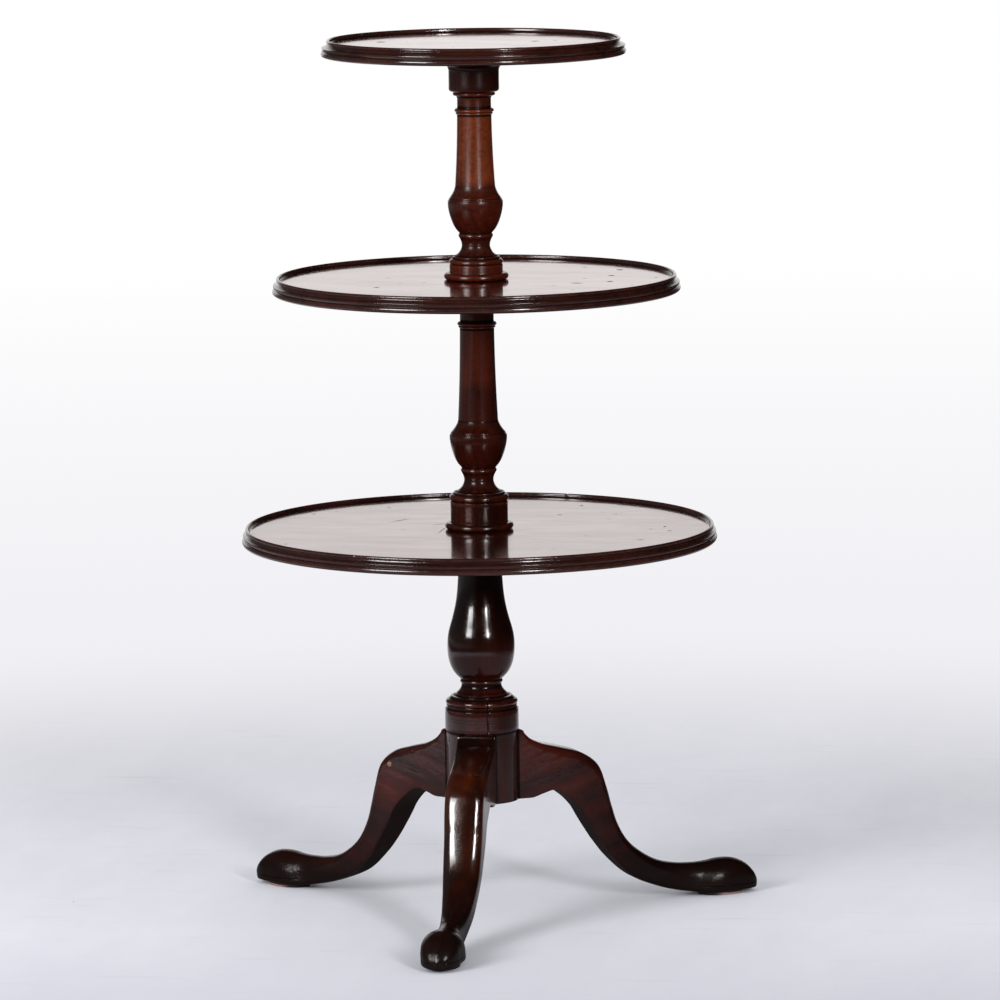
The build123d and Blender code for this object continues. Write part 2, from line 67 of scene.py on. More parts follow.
def turning_tree():
    """Geometry nodes that turn a profile round the column's axis and open one split along the grain."""
    tree = bpy.data.node_groups.new("turned_round_the_axis", "GeometryNodeTree")
    tree.interface.new_socket("Profile", in_out="INPUT", socket_type="NodeSocketGeometry")
    tree.interface.new_socket("Facets", in_out="INPUT", socket_type="NodeSocketInt").default_value = 256
    for name, value in (("Out of round", 0.0), ("Split side", 0.0), ("Split width", 0.5 * mm),
                        ("Split depth", 0.0), ("Split foot", 0.0), ("Split head", 0.0)):
        tree.interface.new_socket(name, in_out="INPUT", socket_type="NodeSocketFloat").default_value = value
    tree.interface.new_socket("Finish", in_out="INPUT", socket_type="NodeSocketMaterial")
    tree.interface.new_socket("Turned piece", in_out="OUTPUT", socket_type="NodeSocketGeometry")
    given = add(tree, "NodeGroupInput").outputs

    # A grid has one column of points for each side and one row for each point of the profile
    rows = add(tree, "GeometryNodeAttributeDomainSize", {"Geometry": given["Profile"]}).outputs["Point Count"]
    columns = add(tree, "ShaderNodeMath", (given["Facets"], 1.0), operation="ADD").outputs[0]
    grid = add(tree, "GeometryNodeMeshGrid", {
        "Size X": 1.0, "Size Y": 1.0, "Vertices X": columns, "Vertices Y": rows}).outputs["Mesh"]
    position = add(tree, "GeometryNodeInputPosition").outputs[0]
    place = add(tree, "ShaderNodeSeparateXYZ", (position,)).outputs
    risen = add(tree, "ShaderNodeMath", (place["Y"], 0.5), operation="ADD").outputs[0]
    last_row = add(tree, "ShaderNodeMath", (rows, 1.0), operation="SUBTRACT").outputs[0]
    row = add(tree, "ShaderNodeMath", (risen, last_row), operation="MULTIPLY").outputs[0]
    row = add(tree, "ShaderNodeMath", (row,), operation="ROUND").outputs[0]
    drawn = add(tree, "GeometryNodeSampleIndex", {"Geometry": given["Profile"], "Value": position, "Index": row},
                data_type="FLOAT_VECTOR", domain="POINT").outputs["Value"]
    drawn = add(tree, "ShaderNodeSeparateXYZ", (drawn,)).outputs
    stored = add(tree, "GeometryNodeInputNamedAttribute", {"Name": "proud"}, data_type="FLOAT").outputs[0]
    proud = add(tree, "GeometryNodeSampleIndex", {"Geometry": given["Profile"], "Value": stored, "Index": row},
                data_type="FLOAT", domain="POINT").outputs["Value"]

    # The points stand closer together near the split, so that it has sharp edges
    side = add(tree, "ShaderNodeMath", (place["X"], 2.0), operation="MULTIPLY").outputs[0]
    cubed = add(tree, "ShaderNodeMath", (side, 3.0), operation="POWER").outputs[0]
    cubed = add(tree, "ShaderNodeMath", (cubed, 0.65), operation="MULTIPLY").outputs[0]
    spread = add(tree, "ShaderNodeMath", (side, 0.35, cubed), operation="MULTIPLY_ADD").outputs[0]
    from_split = add(tree, "ShaderNodeMath", (spread, pi), operation="MULTIPLY").outputs[0]
    angle = add(tree, "ShaderNodeMath", (from_split, given["Split side"]), operation="ADD").outputs[0]
    oval = add(tree, "ShaderNodeMath", (angle, 2.0), operation="MULTIPLY").outputs[0]
    oval = add(tree, "ShaderNodeMath", (oval,), operation="COSINE").outputs[0]
    oval = add(tree, "ShaderNodeMath", (oval, given["Out of round"], 1.0), operation="MULTIPLY_ADD").outputs[0]
    radius = add(tree, "ShaderNodeMath", (drawn["X"], oval), operation="MULTIPLY").outputs[0]
    ring = add(tree, "ShaderNodeCombineXYZ", {"Z": drawn["Z"]})
    for axis, wave in (("X", "COSINE"), ("Y", "SINE")):
        way = add(tree, "ShaderNodeMath", (angle,), operation=wave).outputs[0]
        way = add(tree, "ShaderNodeMath", (radius, way), operation="MULTIPLY").outputs[0]
        tree.links.new(way, ring.inputs[axis])

    # How deep the split is: full at its line, none a little way off and past its ends
    wander = add(tree, "ShaderNodeTexNoise", {"W": drawn["Z"], "Scale": 160.0, "Detail": 3.0},
                 noise_dimensions="1D").outputs[0]
    wander = add(tree, "ShaderNodeMath", (wander, 0.5), operation="SUBTRACT").outputs[0]
    wander = add(tree, "ShaderNodeMath", (wander, 2.4 * mm), operation="MULTIPLY").outputs[0]
    aside = add(tree, "ShaderNodeMath", (from_split, drawn["X"], wander), operation="MULTIPLY_ADD").outputs[0]
    aside = add(tree, "ShaderNodeMath", (aside, given["Split width"]), operation="DIVIDE").outputs[0]
    notch = add(tree, "ShaderNodeMath", (aside, aside), operation="MULTIPLY").outputs[0]
    notch = add(tree, "ShaderNodeMath", (notch, -1.0), operation="MULTIPLY").outputs[0]
    split = add(tree, "ShaderNodeMath", (notch,), operation="EXPONENT").outputs[0]
    for end, taper in (("Split foot", 1.0 * mm), ("Split head", -1.0 * mm)):
        full = add(tree, "ShaderNodeMath", (given[end], taper), operation="ADD").outputs[0]
        inside = add(tree, "ShaderNodeMapRange", (drawn["Z"], given[end], full)).outputs[0]
        split = add(tree, "ShaderNodeMath", (split, inside), operation="MULTIPLY").outputs[0]

    # These are stored while the grid is flat, because they are worked out from a point's row and side
    kept = grid
    for name, value in (("proud", proud), ("split", split)):
        kept = add(tree, "GeometryNodeStoreNamedAttribute", {"Geometry": kept, "Name": name, "Value": value},
                   data_type="FLOAT", domain="POINT").outputs[0]
    turned = add(tree, "GeometryNodeSetPosition", {"Geometry": kept, "Position": ring.outputs[0]}).outputs[0]
    closed = add(tree, "GeometryNodeMergeByDistance", {"Geometry": turned, "Distance": 0.001 * mm}).outputs[0]
    stored = add(tree, "GeometryNodeInputNamedAttribute", {"Name": "split"}, data_type="FLOAT").outputs[0]
    inward = add(tree, "ShaderNodeMath", (stored, given["Split depth"]), operation="MULTIPLY").outputs[0]
    inward = add(tree, "ShaderNodeMath", (inward, -1.0), operation="MULTIPLY").outputs[0]
    normal = add(tree, "GeometryNodeInputNormal").outputs[0]
    sunk = add(tree, "ShaderNodeVectorMath", {0: normal, "Scale": inward}, operation="SCALE").outputs[0]
    opened = add(tree, "GeometryNodeSetPosition", {"Geometry": closed, "Offset": sunk}).outputs[0]
    smooth = add(tree, "GeometryNodeSetShadeSmooth", {"Geometry": opened}).outputs[0]
    real = add(tree, "GeometryNodeRealizeInstances", {"Geometry": smooth}).outputs[0]
    finished = add(tree, "GeometryNodeSetMaterial", {"Geometry": real, "Material": given["Finish"]}).outputs[0]
    add(tree, "NodeGroupOutput", {"Turned piece": finished})
    return tree


turning = turning_tree()


def settle(piece):
    """Turns what a piece's modifiers make into its plain mesh."""
    bpy.context.view_layer.update()
    shape = bpy.data.meshes.new_from_object(piece.evaluated_get(bpy.context.evaluated_depsgraph_get()))
    piece.modifiers.clear()
    piece.data = shape
    finishes = [kind for kind in shape.materials if kind]
    shape.materials.clear()
    for kind in finishes:
        shape.materials.append(kind)
    shape.polygons.foreach_set("material_index", [0] * len(shape.polygons))
    return piece


# How far apart the points of a profile are on a curve and on a round, in mm
curve_step, round_step = 2.2, 1.0


def drawn_profile(rows):
    """Points of a turned profile, in mm. Rows are (radius, height, swell): swell is how far the stretch that
    ends there bulges out of the wood, and rows marked curve share one smooth curve."""
    points = [Vector(rows[0][:2])]
    place = 1
    while place < len(rows):
        radius, height, swell = rows[place]
        start, end = points[-1], Vector((radius, height))
        if swell == "curve":
            run = [start]
            while place < len(rows) and rows[place][2] == "curve":
                run.append(Vector(rows[place][:2]))
                place += 1
            ends = [2 * run[0] - run[1], *run, 2 * run[-1] - run[-2]]
            bow = []
            for step in range(len(run) - 1):
                before, here, there, after = ends[step:step + 4]
                parts = max(1, ceil((there - here).length / curve_step))
                for part in range(1, parts + 1):
                    t = part / parts
                    bow.append(0.5 * (2 * here + (there - before) * t
                                      + (2 * before - 5 * here + 4 * there - after) * t * t
                                      + (3 * here - before - 3 * there + after) * t ** 3))
            for _ in range(len(bow) // 4):
                bow = [bow[0]] + [(a + 2 * b + c) / 4 for a, b, c in zip(bow, bow[1:], bow[2:])] + [bow[-1]]
            points += bow
            continue
        chord = end - start
        if swell:
            half = chord.length / 2
            bend = (half * half + swell * swell) / (2 * swell)
            outward = Vector((chord.y, -chord.x)).normalized()
            centre = (start + end) / 2 + outward * (swell - bend)
            first = atan2(start.y - centre.y, start.x - centre.x)
            sweep = (atan2(end.y - centre.y, end.x - centre.x) - first) * copysign(1, swell) % (2 * pi)
            parts = max(5, ceil(abs(bend) * sweep / round_step))
            for part in range(1, parts + 1):
                turn = first + copysign(sweep, swell) * part / parts
                points.append(centre + abs(bend) * Vector((cos(turn), sin(turn))))
        else:
            points.append(end)
        place += 1
    return points


# A corner flatter than this is left alone, and an eased one takes at most this share of each stretch beside it
flat_corner, most_eased = radians(155), 0.45


def eased(points, ease):
    """The profile with its corners rubbed round by about ease, as old polished edges are."""
    out = [points[0]]
    for before, here, after in zip(points, points[1:], points[2:]):
        back, on = before - here, after - here
        if back.length < 1e-6 or on.length < 1e-6:
            continue
        if back.angle(on) > flat_corner:
            out.append(here)
            continue
        start = here + back.normalized() * min(ease, back.length * most_eased)
        end = here + on.normalized() * min(ease, on.length * most_eased)
        for t in (0, 0.33, 0.67, 1):
            out.append((1 - t) ** 2 * start + 2 * t * (1 - t) * here + t * t * end)
    return out + [points[-1]]


def filled(points, longest):
    """The profile with its long straight stretches divided."""
    out = [points[0]]
    for start, end in zip(points, points[1:]):
        parts = max(1, ceil((end - start).length / longest))
        out += [start.lerp(end, part / parts) for part in range(1, parts + 1)]
    return out


# A point's neighbours lie within this reach of it, and their weight falls off over this distance, in mm
neighbour_reach, neighbour_fall = 7, 2.6


def turn(name, rows, finish, ease=0.45, longest=6.0, facets=224, out_of_round=0.002, split=None):
    """A turned piece from its profile's rows, in mm. Its points carry how proud of their neighbours they stand."""
    points = filled(eased(drawn_profile(rows), ease), longest)
    along = [0]
    for start, end in zip(points, points[1:]):
        along.append(along[-1] + (end - start).length)
    proud = []
    for here, at in zip(points, along):
        near = [(other, (spot - at) / neighbour_fall) for other, spot in zip(points, along)
                if abs(spot - at) < neighbour_reach]
        weights = [exp(-gap * gap) for _, gap in near]
        mean = sum((other * weight for (other, _), weight in zip(near, weights)), Vector((0, 0))) / sum(weights)
        first, last = near[0][0], near[-1][0]
        outward = Vector((last.y - first.y, first.x - last.x)).normalized()
        proud.append((here - mean).dot(outward))
    mesh = bpy.data.meshes.new(name)
    mesh.from_pydata([(max(p.x, 0) * mm, 0, p.y * mm) for p in points],
                     [(place, place + 1) for place in range(len(points) - 1)], [])
    mesh.attributes.new("proud", "FLOAT", "POINT").data.foreach_set("value", proud)
    piece = bpy.data.objects.new(name, mesh)
    bpy.context.scene.collection.objects.link(piece)
    lathe = piece.modifiers.new("Turned", "NODES")
    lathe.node_group = turning
    values = {"Facets": facets, "Out of round": out_of_round, "Finish": finish}
    values.update(split or {})
    sockets = {item.name: item.identifier for item in turning.interface.items_tree if item.in_out == "INPUT"}
    for label, value in values.items():
        lathe[sockets[label]] = value
    return settle(piece)


def mahogany(name, along, light, dark, seed, tone=0.5, mottle=0.0, rub="turned", roughness=0.34, worn="#5e2f1d",
             patches=0.1, base_gloss=0.05, coat_roughness=0.11, pale=None, pale_from=0.0, pale_to=0.0,
             joints=(), marks_at=(), uneven=0.03, stripes=0.6, ringed=0.16, deeper=(), coat_ior=1.42,
             tint="#f0cdbb", hollows=(-0.04, -0.22), dull_hollows=(-0.04, -0.22), tooled=0.016):
    """Old mahogany under French polish. Along turns the pattern so that its Z runs with the grain. Broad ribbons
    and growth rings vary the red-brown, short dark pores run with the grain, and hollows hold black wax and
    painted shade. Pale is the colour of wood that has lost its stain between two heights. Uneven is how far a
    surface that should be true swells and sinks, in mm. Deeper lists stretches of height where the colour is
    darker: from which height to which it comes in, in mm, and the share of the colour that is left. Hollows are
    how deep, in mm, a hollow starts to darken with black wax and painted shade and is fully dark, and dull
    hollows how deep it starts to lose its shine and has lost it. Tooled is the depth of the tool marks, in mm."""
    material = bpy.data.materials.new(name)
    material.use_nodes = True
    tree = material.node_tree
    shader = tree.nodes["Principled BSDF"]
    here = add(tree, "ShaderNodeTexCoord").outputs["Object"]
    steps = add(tree, "ShaderNodeSeparateXYZ", (here,)).outputs
    shift = Vector((0.11 + 0.013 * seed, 0.083 - 0.019 * seed, 0.37 * seed))
    grain = add(tree, "ShaderNodeMapping", {"Vector": here, "Rotation": along, "Location": shift}).outputs[0]
    long_grain = add(tree, "ShaderNodeMapping", {"Vector": grain, "Scale": (1.0, 1.0, 0.07)}).outputs[0]
    flame = add(tree, "ShaderNodeMapping", {"Vector": grain, "Scale": (1.0, 1.0, 0.25)}).outputs[0]

    # Ribbons 40 mm broad, growth rings about 7 mm apart, and pores drawn 0.5 mm broad and 7 mm long, which is
    # about twice as broad as real ones, so that they show
    ribbon = add(tree, "ShaderNodeTexNoise", {
        "Vector": flame, "Scale": 25.0, "Detail": 3.0, "Roughness": 0.55}).outputs["Fac"]
    ribbon = add(tree, "ShaderNodeMapRange", (ribbon, 0.36, 0.66, -0.5, 0.5)).outputs[0]
    rings = add(tree, "ShaderNodeTexWave", {
        "Vector": flame, "Scale": 45.0, "Distortion": 6.0, "Detail": 2.0, "Detail Scale": 0.6},
        wave_type="RINGS", rings_direction="Z").outputs["Fac"]
    rings = add(tree, "ShaderNodeMath", (rings, 0.5), operation="SUBTRACT").outputs[0]
    pore = add(tree, "ShaderNodeTexNoise", {"Vector": long_grain, "Scale": 1900.0, "Detail": 2.0}).outputs["Fac"]
    pore = add(tree, "ShaderNodeMapRange", (pore, 0.56, 0.7)).outputs[0]
    figures = [(ribbon, stripes), (rings, ringed)]
    if mottle:
        # Fiddleback mottle: short bright and dark flecks 4 mm high lying across the grain
        across = add(tree, "ShaderNodeMapping", {"Vector": grain, "Scale": (0.5, 0.5, 1.0)}).outputs[0]
        fleck = add(tree, "ShaderNodeTexNoise", {"Vector": across, "Scale": 260.0, "Detail": 3.0}).outputs["Fac"]
        fleck = add(tree, "ShaderNodeMath", (fleck, 0.5), operation="SUBTRACT").outputs[0]
        figures.append((fleck, mottle))
    shade = tone
    for figure, strength in figures:
        shade = add(tree, "ShaderNodeMath", (figure, strength, shade), operation="MULTIPLY_ADD").outputs[0]
    shade = add(tree, "ShaderNodeMapRange", (shade,)).outputs[0]
    wood = add(tree, "ShaderNodeMix", {0: shade, 6: linear(dark), 7: linear(light)}, data_type="RGBA").outputs[2]
    if pale:
        # The stain has worn off between two heights, with ragged ends
        frayed = add(tree, "ShaderNodeTexNoise", {"Vector": flame, "Scale": 60.0, "Detail": 3.0}).outputs["Fac"]
        frayed = add(tree, "ShaderNodeMath", (frayed, 0.5), operation="SUBTRACT").outputs[0]
        ragged = add(tree, "ShaderNodeMath", (frayed, 16 * mm, steps["Z"]), operation="MULTIPLY_ADD").outputs[0]
        above = add(tree, "ShaderNodeMapRange", (ragged, pale_from, pale_from + 12 * mm)).outputs[0]
        below = add(tree, "ShaderNodeMapRange", (ragged, pale_to, pale_to - 8 * mm)).outputs[0]
        bared = add(tree, "ShaderNodeMath", (above, below), operation="MULTIPLY").outputs[0]
        bare = add(tree, "ShaderNodeMix", {0: shade, 6: linear(dark), 7: linear(pale)}, data_type="RGBA").outputs[2]
        wood = add(tree, "ShaderNodeMix", {0: bared, 6: wood, 7: bare}, data_type="RGBA").outputs[2]
    stopped = add(tree, "ShaderNodeMath", (pore, 0.55), operation="MULTIPLY").outputs[0]
    wood = add(tree, "ShaderNodeMix", {0: stopped, 6: wood, 7: linear("#0e0605")}, data_type="RGBA").outputs[2]
    # Darker stretches of height; on the pillar this is painted shade over the upper baluster, from about its widest
    # line up
    for none_at, full_at, left in deeper:
        stain = add(tree, "ShaderNodeMapRange", (steps["Z"], none_at * mm, full_at * mm, 1.0, left)).outputs[0]
        stain = add(tree, "ShaderNodeCombineColor", (stain, stain, stain)).outputs[0]
        wood = add(tree, "ShaderNodeMix", {0: 1.0, 6: wood, 7: stain}, data_type="RGBA",
                   blend_type="MULTIPLY").outputs[2]

    # Black wax and painted shade in the hollows, the finish rubbed thin on what stands proud, and painted shade
    # inside the split
    proud = add(tree, "ShaderNodeAttribute", attribute_name="proud").outputs["Fac"]
    hollow_wax_and_shade = add(tree, "ShaderNodeMapRange", (proud, *hollows)).outputs[0]
    wax_and_shade_dark = add(tree, "ShaderNodeMath", (hollow_wax_and_shade, 0.92), operation="MULTIPLY").outputs[0]
    patchy = add(tree, "ShaderNodeTexNoise", {"Vector": here, "Scale": 90.0, "Detail": 3.0}).outputs["Fac"]
    patchy = add(tree, "ShaderNodeMapRange", (patchy, 0.35, 0.7, 0.0, 0.5)).outputs[0]
    rubbed = add(tree, "ShaderNodeMapRange", (proud, 0.15, 0.6)).outputs[0]
    rubbed = add(tree, "ShaderNodeMath", (rubbed, patchy), operation="MULTIPLY").outputs[0]
    # The split is painted near black inside, as shade
    split = add(tree, "ShaderNodeAttribute", attribute_name="split").outputs["Fac"]
    split = add(tree, "ShaderNodeMapRange", (split, 0.15, 0.5)).outputs[0]
    laid_on = [(wax_and_shade_dark, "#060303"), (rubbed, worn), (split, "#050202")]

    # Painted shade in the joint gaps: black lines where each leg's two sides meet the hub
    for angle in joints:
        east, north = cos(radians(angle)), sin(radians(angle))
        forward, sideways = (
            add(tree, "ShaderNodeVectorMath", (here, way), operation="DOT_PRODUCT").outputs["Value"]
            for way in ((east, north, 0.0), (-north, east, 0.0)))
        from_side = add(tree, "ShaderNodeMath", (sideways,), operation="ABSOLUTE").outputs[0]
        from_side = add(tree, "ShaderNodeMath", (from_side, 25.6 * mm), operation="SUBTRACT").outputs[0]
        from_side = add(tree, "ShaderNodeMath", (from_side,), operation="ABSOLUTE").outputs[0]
        line = add(tree, "ShaderNodeMapRange", (from_side, 1.3 * mm, 0.5 * mm, 0.0, 0.9)).outputs[0]
        for value, none_at, full_at in ((forward, 0.0, 5 * mm), (steps["Z"], 244 * mm, 242 * mm)):
            within = add(tree, "ShaderNodeMapRange", (value, none_at, full_at)).outputs[0]
            line = add(tree, "ShaderNodeMath", (line, within), operation="MULTIPLY").outputs[0]
        laid_on.append((line, "#050202"))

    # Old dents, ink spots and scratches on a tray's floor, with soft ragged edges
    spots = None
    if marks_at:
        torn = add(tree, "ShaderNodeTexNoise", {"Vector": here, "Scale": 420.0, "Detail": 3.0}).outputs["Fac"]
        torn = add(tree, "ShaderNodeMath", (torn, 0.5), operation="SUBTRACT").outputs[0]
    for east, north, across_mark, long_mark, bearing in marks_at:
        over = add(tree, "ShaderNodeMapping", {
            "Vector": here, "Location": (east * mm, north * mm, 0.0), "Rotation": (0.0, 0.0, radians(bearing)),
            "Scale": (long_mark / across_mark, 1.0, 1000.0)}, vector_type="TEXTURE").outputs[0]
        away = add(tree, "ShaderNodeVectorMath", (over,), operation="LENGTH").outputs["Value"]
        away = add(tree, "ShaderNodeMath", (torn, across_mark * 1.1 * mm, away),
                   operation="MULTIPLY_ADD").outputs[0]
        spot = add(tree, "ShaderNodeMapRange", (away, across_mark * mm, across_mark * 0.35 * mm)).outputs[0]
        laid_on.append((add(tree, "ShaderNodeMath", (spot, 0.9), operation="MULTIPLY").outputs[0], "#080404"))
        if spots is not None:
            spot = add(tree, "ShaderNodeMath", (spots, spot), operation="MAXIMUM").outputs[0]
        spots = spot
    for share, colour in laid_on:
        wood = add(tree, "ShaderNodeMix", {0: share, 6: wood, 7: linear(colour)}, data_type="RGBA").outputs[2]

    # Tool marks: lathe rings up a column, scraped rings on a tray, and long soft facets on a carved leg
    if rub == "turned":
        marks = add(tree, "ShaderNodeTexNoise", {"W": steps["Z"], "Scale": 620.0, "Detail": 2.0},
                    noise_dimensions="1D").outputs["Fac"]
    elif rub == "dished":
        flat = add(tree, "ShaderNodeCombineXYZ", (steps["X"], steps["Y"])).outputs[0]
        reach = add(tree, "ShaderNodeVectorMath", (flat,), operation="LENGTH").outputs["Value"]
        marks = add(tree, "ShaderNodeTexNoise", {"W": reach, "Scale": 240.0, "Detail": 2.0},
                    noise_dimensions="1D").outputs["Fac"]
    else:
        marks = add(tree, "ShaderNodeTexNoise", {"Vector": flame, "Scale": 70.0, "Detail": 1.0}).outputs["Fac"]
    swell = add(tree, "ShaderNodeTexNoise", {"Vector": here, "Scale": 32.0, "Detail": 2.0}).outputs["Fac"]
    dint = add(tree, "ShaderNodeTexVoronoi", {"Vector": here, "Scale": 28.0, "Randomness": 1.0}).outputs["Distance"]
    dint = add(tree, "ShaderNodeMapRange", (dint, 0.02, 0.075, -1.0, 0.0)).outputs[0]
    reliefs = [(1.0, tooled, marks, False), (0.6, 0.5, dint, False),
               (1.0, 0.002 if rub == "dished" else 0.02, pore, True)]
    if spots is not None:
        reliefs.append((0.8, 0.5, spots, True))
    relief = add(tree, "ShaderNodeBump", {"Strength": 1.0, "Distance": uneven * mm, "Height": swell}).outputs[0]
    for strength, depth, height, sunk in reliefs:
        relief = add(tree, "ShaderNodeBump", {"Strength": strength, "Distance": depth * mm, "Height": height,
                                              "Normal": relief}, invert=sunk).outputs[0]

    shine = add(tree, "ShaderNodeMapRange", (proud, *dull_hollows, 1.0, 0.15)).outputs[0]
    dull = add(tree, "ShaderNodeTexNoise", {"Vector": here, "Scale": 14.0, "Detail": 4.0}).outputs["Fac"]
    dull = add(tree, "ShaderNodeMapRange", (dull, 0.3, 0.7, roughness, roughness + patches)).outputs[0]
    dull = add(tree, "ShaderNodeMath", (hollow_wax_and_shade, 0.3, dull), operation="MULTIPLY_ADD").outputs[0]
    if spots is not None:
        bared = add(tree, "ShaderNodeMapRange", (spots, 0.0, 1.0, 1.0, 0.1)).outputs[0]
        shine = add(tree, "ShaderNodeMath", (shine, bared), operation="MULTIPLY").outputs[0]
        scraped = add(tree, "ShaderNodeMath", (spots, 0.9), operation="MULTIPLY").outputs[0]
        dull = add(tree, "ShaderNodeMath", (dull, scraped), operation="MAXIMUM").outputs[0]
    for socket, value in (("Base Color", wood), ("Normal", relief), ("Coat Normal", relief),
                          ("Coat Weight", shine), ("Roughness", dull)):
        tree.links.new(value, shader.inputs[socket])
    for socket, value in (("IOR", 1.5), ("Specular IOR Level", base_gloss), ("Coat Tint", linear(tint)),
                          ("Coat Roughness", coat_roughness), ("Coat IOR", coat_ior)):
        shader.inputs[socket].default_value = value
    return material


# French-polished mahogany on the base: a red-brown so dark that it reads black where no light strikes it
# Painted shade on the base: the upper baluster darkened from about its widest line up, and black lines for the
# shade in the gaps where the legs meet the hub
pillar_finish = mahogany("french_polished_mahogany_pillar", (0, 0, 0), "#3a140e", "#130504", 1, coat_roughness=0.09,
                         coat_ior=1.48, joints=(-90, 30, 150), deeper=[(335, 372, 0.4)],
                         dull_hollows=(-0.12, -0.34), uneven=0.1, tooled=0.02)

lower_underside = 487.5
ledge, hub_foot, pillar_head = 243.0, 151.0, 461.2
baluster_foot, baluster_height, baluster_radius = 289.9, 152.1, 43.7
spindle_radius, spindle_head = 17, 504.1
pillar_rows = [
    (0, hub_foot, None), (46.4, hub_foot, 0), (46.4, ledge, 0), (47.4, ledge, 0), (47.4, 270.5, 0),
    (45.5, 270.5, 0), (45.5, 276, 0), (44.5, 276, 0), (44.5, 283, 1.9), (39.5, 287.5, -0.8), (33.5, 287.5, 0),
    (33.5, baluster_foot, 0),
]
neck = [(0, .765), (.018, .7), (.036, .645), (.052, .604), (.072, .581), (.088, .59)]
belly = [(.128, .62), (.155, .735), (.19, .826), (.225, .892), (.26, .934), (.3, .967), (.345, .988), (.41, 1),
         (.475, .985), (.52, .962), (.57, .917), (.62, .86), (.67, .815), (.72, .769), (.78, .729), (.84, .698),
         (.9, .676), (1, .654)]


def curve(shares, radius, foot, height):
    """Rows of a smooth curve, from shares of its height and of its radius."""
    return [(share * radius, foot + level * height, "curve") for level, share in shares]


pillar_rows += curve(neck, baluster_radius, baluster_foot, baluster_height)
pillar_rows += [(26.2, baluster_foot + .092 * baluster_height, 0),
                (26.2, baluster_foot + .12 * baluster_height, 1.3)]
pillar_rows += curve(belly, baluster_radius, baluster_foot, baluster_height)
pillar_rows += [(28.2, 448.2, 0), (33, 455.2, -1.6), (33, pillar_head, 3), (spindle_radius, pillar_head, 0),
                (spindle_radius, spindle_head, 0), (0, spindle_head, 0)]
pillar = turn("base_pillar_turned", pillar_rows, pillar_finish, split={
    "Split side": radians(-71.9), "Split width": 0.55 * mm, "Split depth": 2.2 * mm,
    "Split foot": 240 * mm, "Split head": 284.5 * mm})
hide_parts("base_pillar")
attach(pillar, "base")


# Three cabriole legs, each sawn from a plank and carved: flat sides and a crowned back at the knee,
# running thin and round at the ankle into a pad foot with a faint ridge at its toe. They are dovetailed
# into the hub. Their backs and sides are polished, and their undersides were left from the saw.
leg_angles = {"front": -90, "right": 30, "left": 150}

# Stations from the hub to the toe, in mm: reach and height of the top, of the underside, half width,
# crown of the top, squareness of the upper and of the lower half, and where the widest line lies
leg_stations = [
    (35.9, 242.5, 35.9, 151.0, 25.0, 1.0, 26, 26, 0.5),
    (46.8, 242.0, 46.8, 151.0, 25.0, 1.2, 26, 26, 0.5),
    (50.2, 237.6, 51.2, 151.0, 25.0, 1.6, 24, 26, 0.5),
    (60.0, 229.8, 61.9, 151.2, 25.0, 3.0, 20, 24, 0.5),
    (79.8, 221.6, 77.2, 155.8, 25.0, 5.0, 16, 22, 0.5),
    (108.1, 214.1, 92.8, 158.4, 25.0, 6.3, 14, 22, 0.5),
    (136.0, 205.1, 108.9, 148.4, 25.0, 7.0, 13, 22, 0.5),
    (157.0, 187.6, 119.9, 139.5, 25.0, 7.2, 12, 22, 0.5),
    (168.5, 158.0, 129.9, 128.0, 25.0, 7.4, 11, 22, 0.5),
    (176.1, 131.0, 137.9, 114.0, 24.8, 7.4, 10, 20, 0.5),
    (184.5, 105.9, 147.5, 98.5, 24.3, 7.4, 9, 18, 0.5),
    (197.9, 83.1, 160.1, 79.4, 23.3, 7.2, 7, 16, 0.5),
    (217.0, 65.6, 176.9, 57.5, 21.3, 6.5, 5.4, 12, 0.5),
    (241.0, 52.0, 202.8, 34.0, 18.8, 5.0, 4.2, 9, 0.5),
    (267.0, 45.2, 236.1, 18.6, 16.6, 3.5, 3.2, 6, 0.48),
    (289.0, 43.5, 262.0, 11.0, 16.2, 2.0, 2.7, 5, 0.45),
    (304.0, 43.7, 283.0, 7.0, 18.2, 1.0, 2.5, 5.5, 0.4),
    (315.0, 44.6, 297.0, 5.3, 22.0, 0.5, 2.4, 7, 0.34),
    (325.0, 46.0, 309.0, 5.0, 25.4, 0.2, 2.3, 8, 0.3),
    (334.0, 46.4, 322.0, 5.0, 27.2, 0.0, 2.3, 9, 0.3),
    (344.0, 45.8, 334.0, 5.0, 27.0, 0.0, 2.3, 9, 0.32),
    (353.5, 43.4, 345.5, 5.0, 25.6, 0.0, 2.4, 8, 0.34),
    (362.5, 39.2, 357.0, 5.0, 24.0, 0.0, 2.5, 9, 0.36),
    (370.0, 33.4, 366.0, 5.0, 21.0, 0.0, 2.5, 9, 0.38),
    (376.0, 26.6, 373.2, 5.0, 16.8, 0.0, 2.5, 8, 0.42),
    (379.8, 20.2, 378.2, 5.1, 11.8, 0.0, 2.4, 7, 0.46),
    (381.5, 14.6, 380.8, 5.4, 6.8, 0.0, 2.3, 5, 0.5),
    (382.0, 11.0, 381.8, 6.2, 2.6, 0.0, 2.0, 3, 0.5),
]
leg_between = 8
ring_points = 64
# The ridge of the toe: how high and how broad it is, and the reach where it starts and where it is full
ridge_height, ridge_breadth, ridge_start, ridge_full = 1.2, 2.2, 330, 360
pad_centre = Vector((332, 0, 14))
hub_surface = 46.6
# The unevenness is up to 0.45 mm high, in waves of about 45 mm, and is the same in each run
uneven_height, waves_per_mm = 0.45, 0.022
noise.seed_set(5)


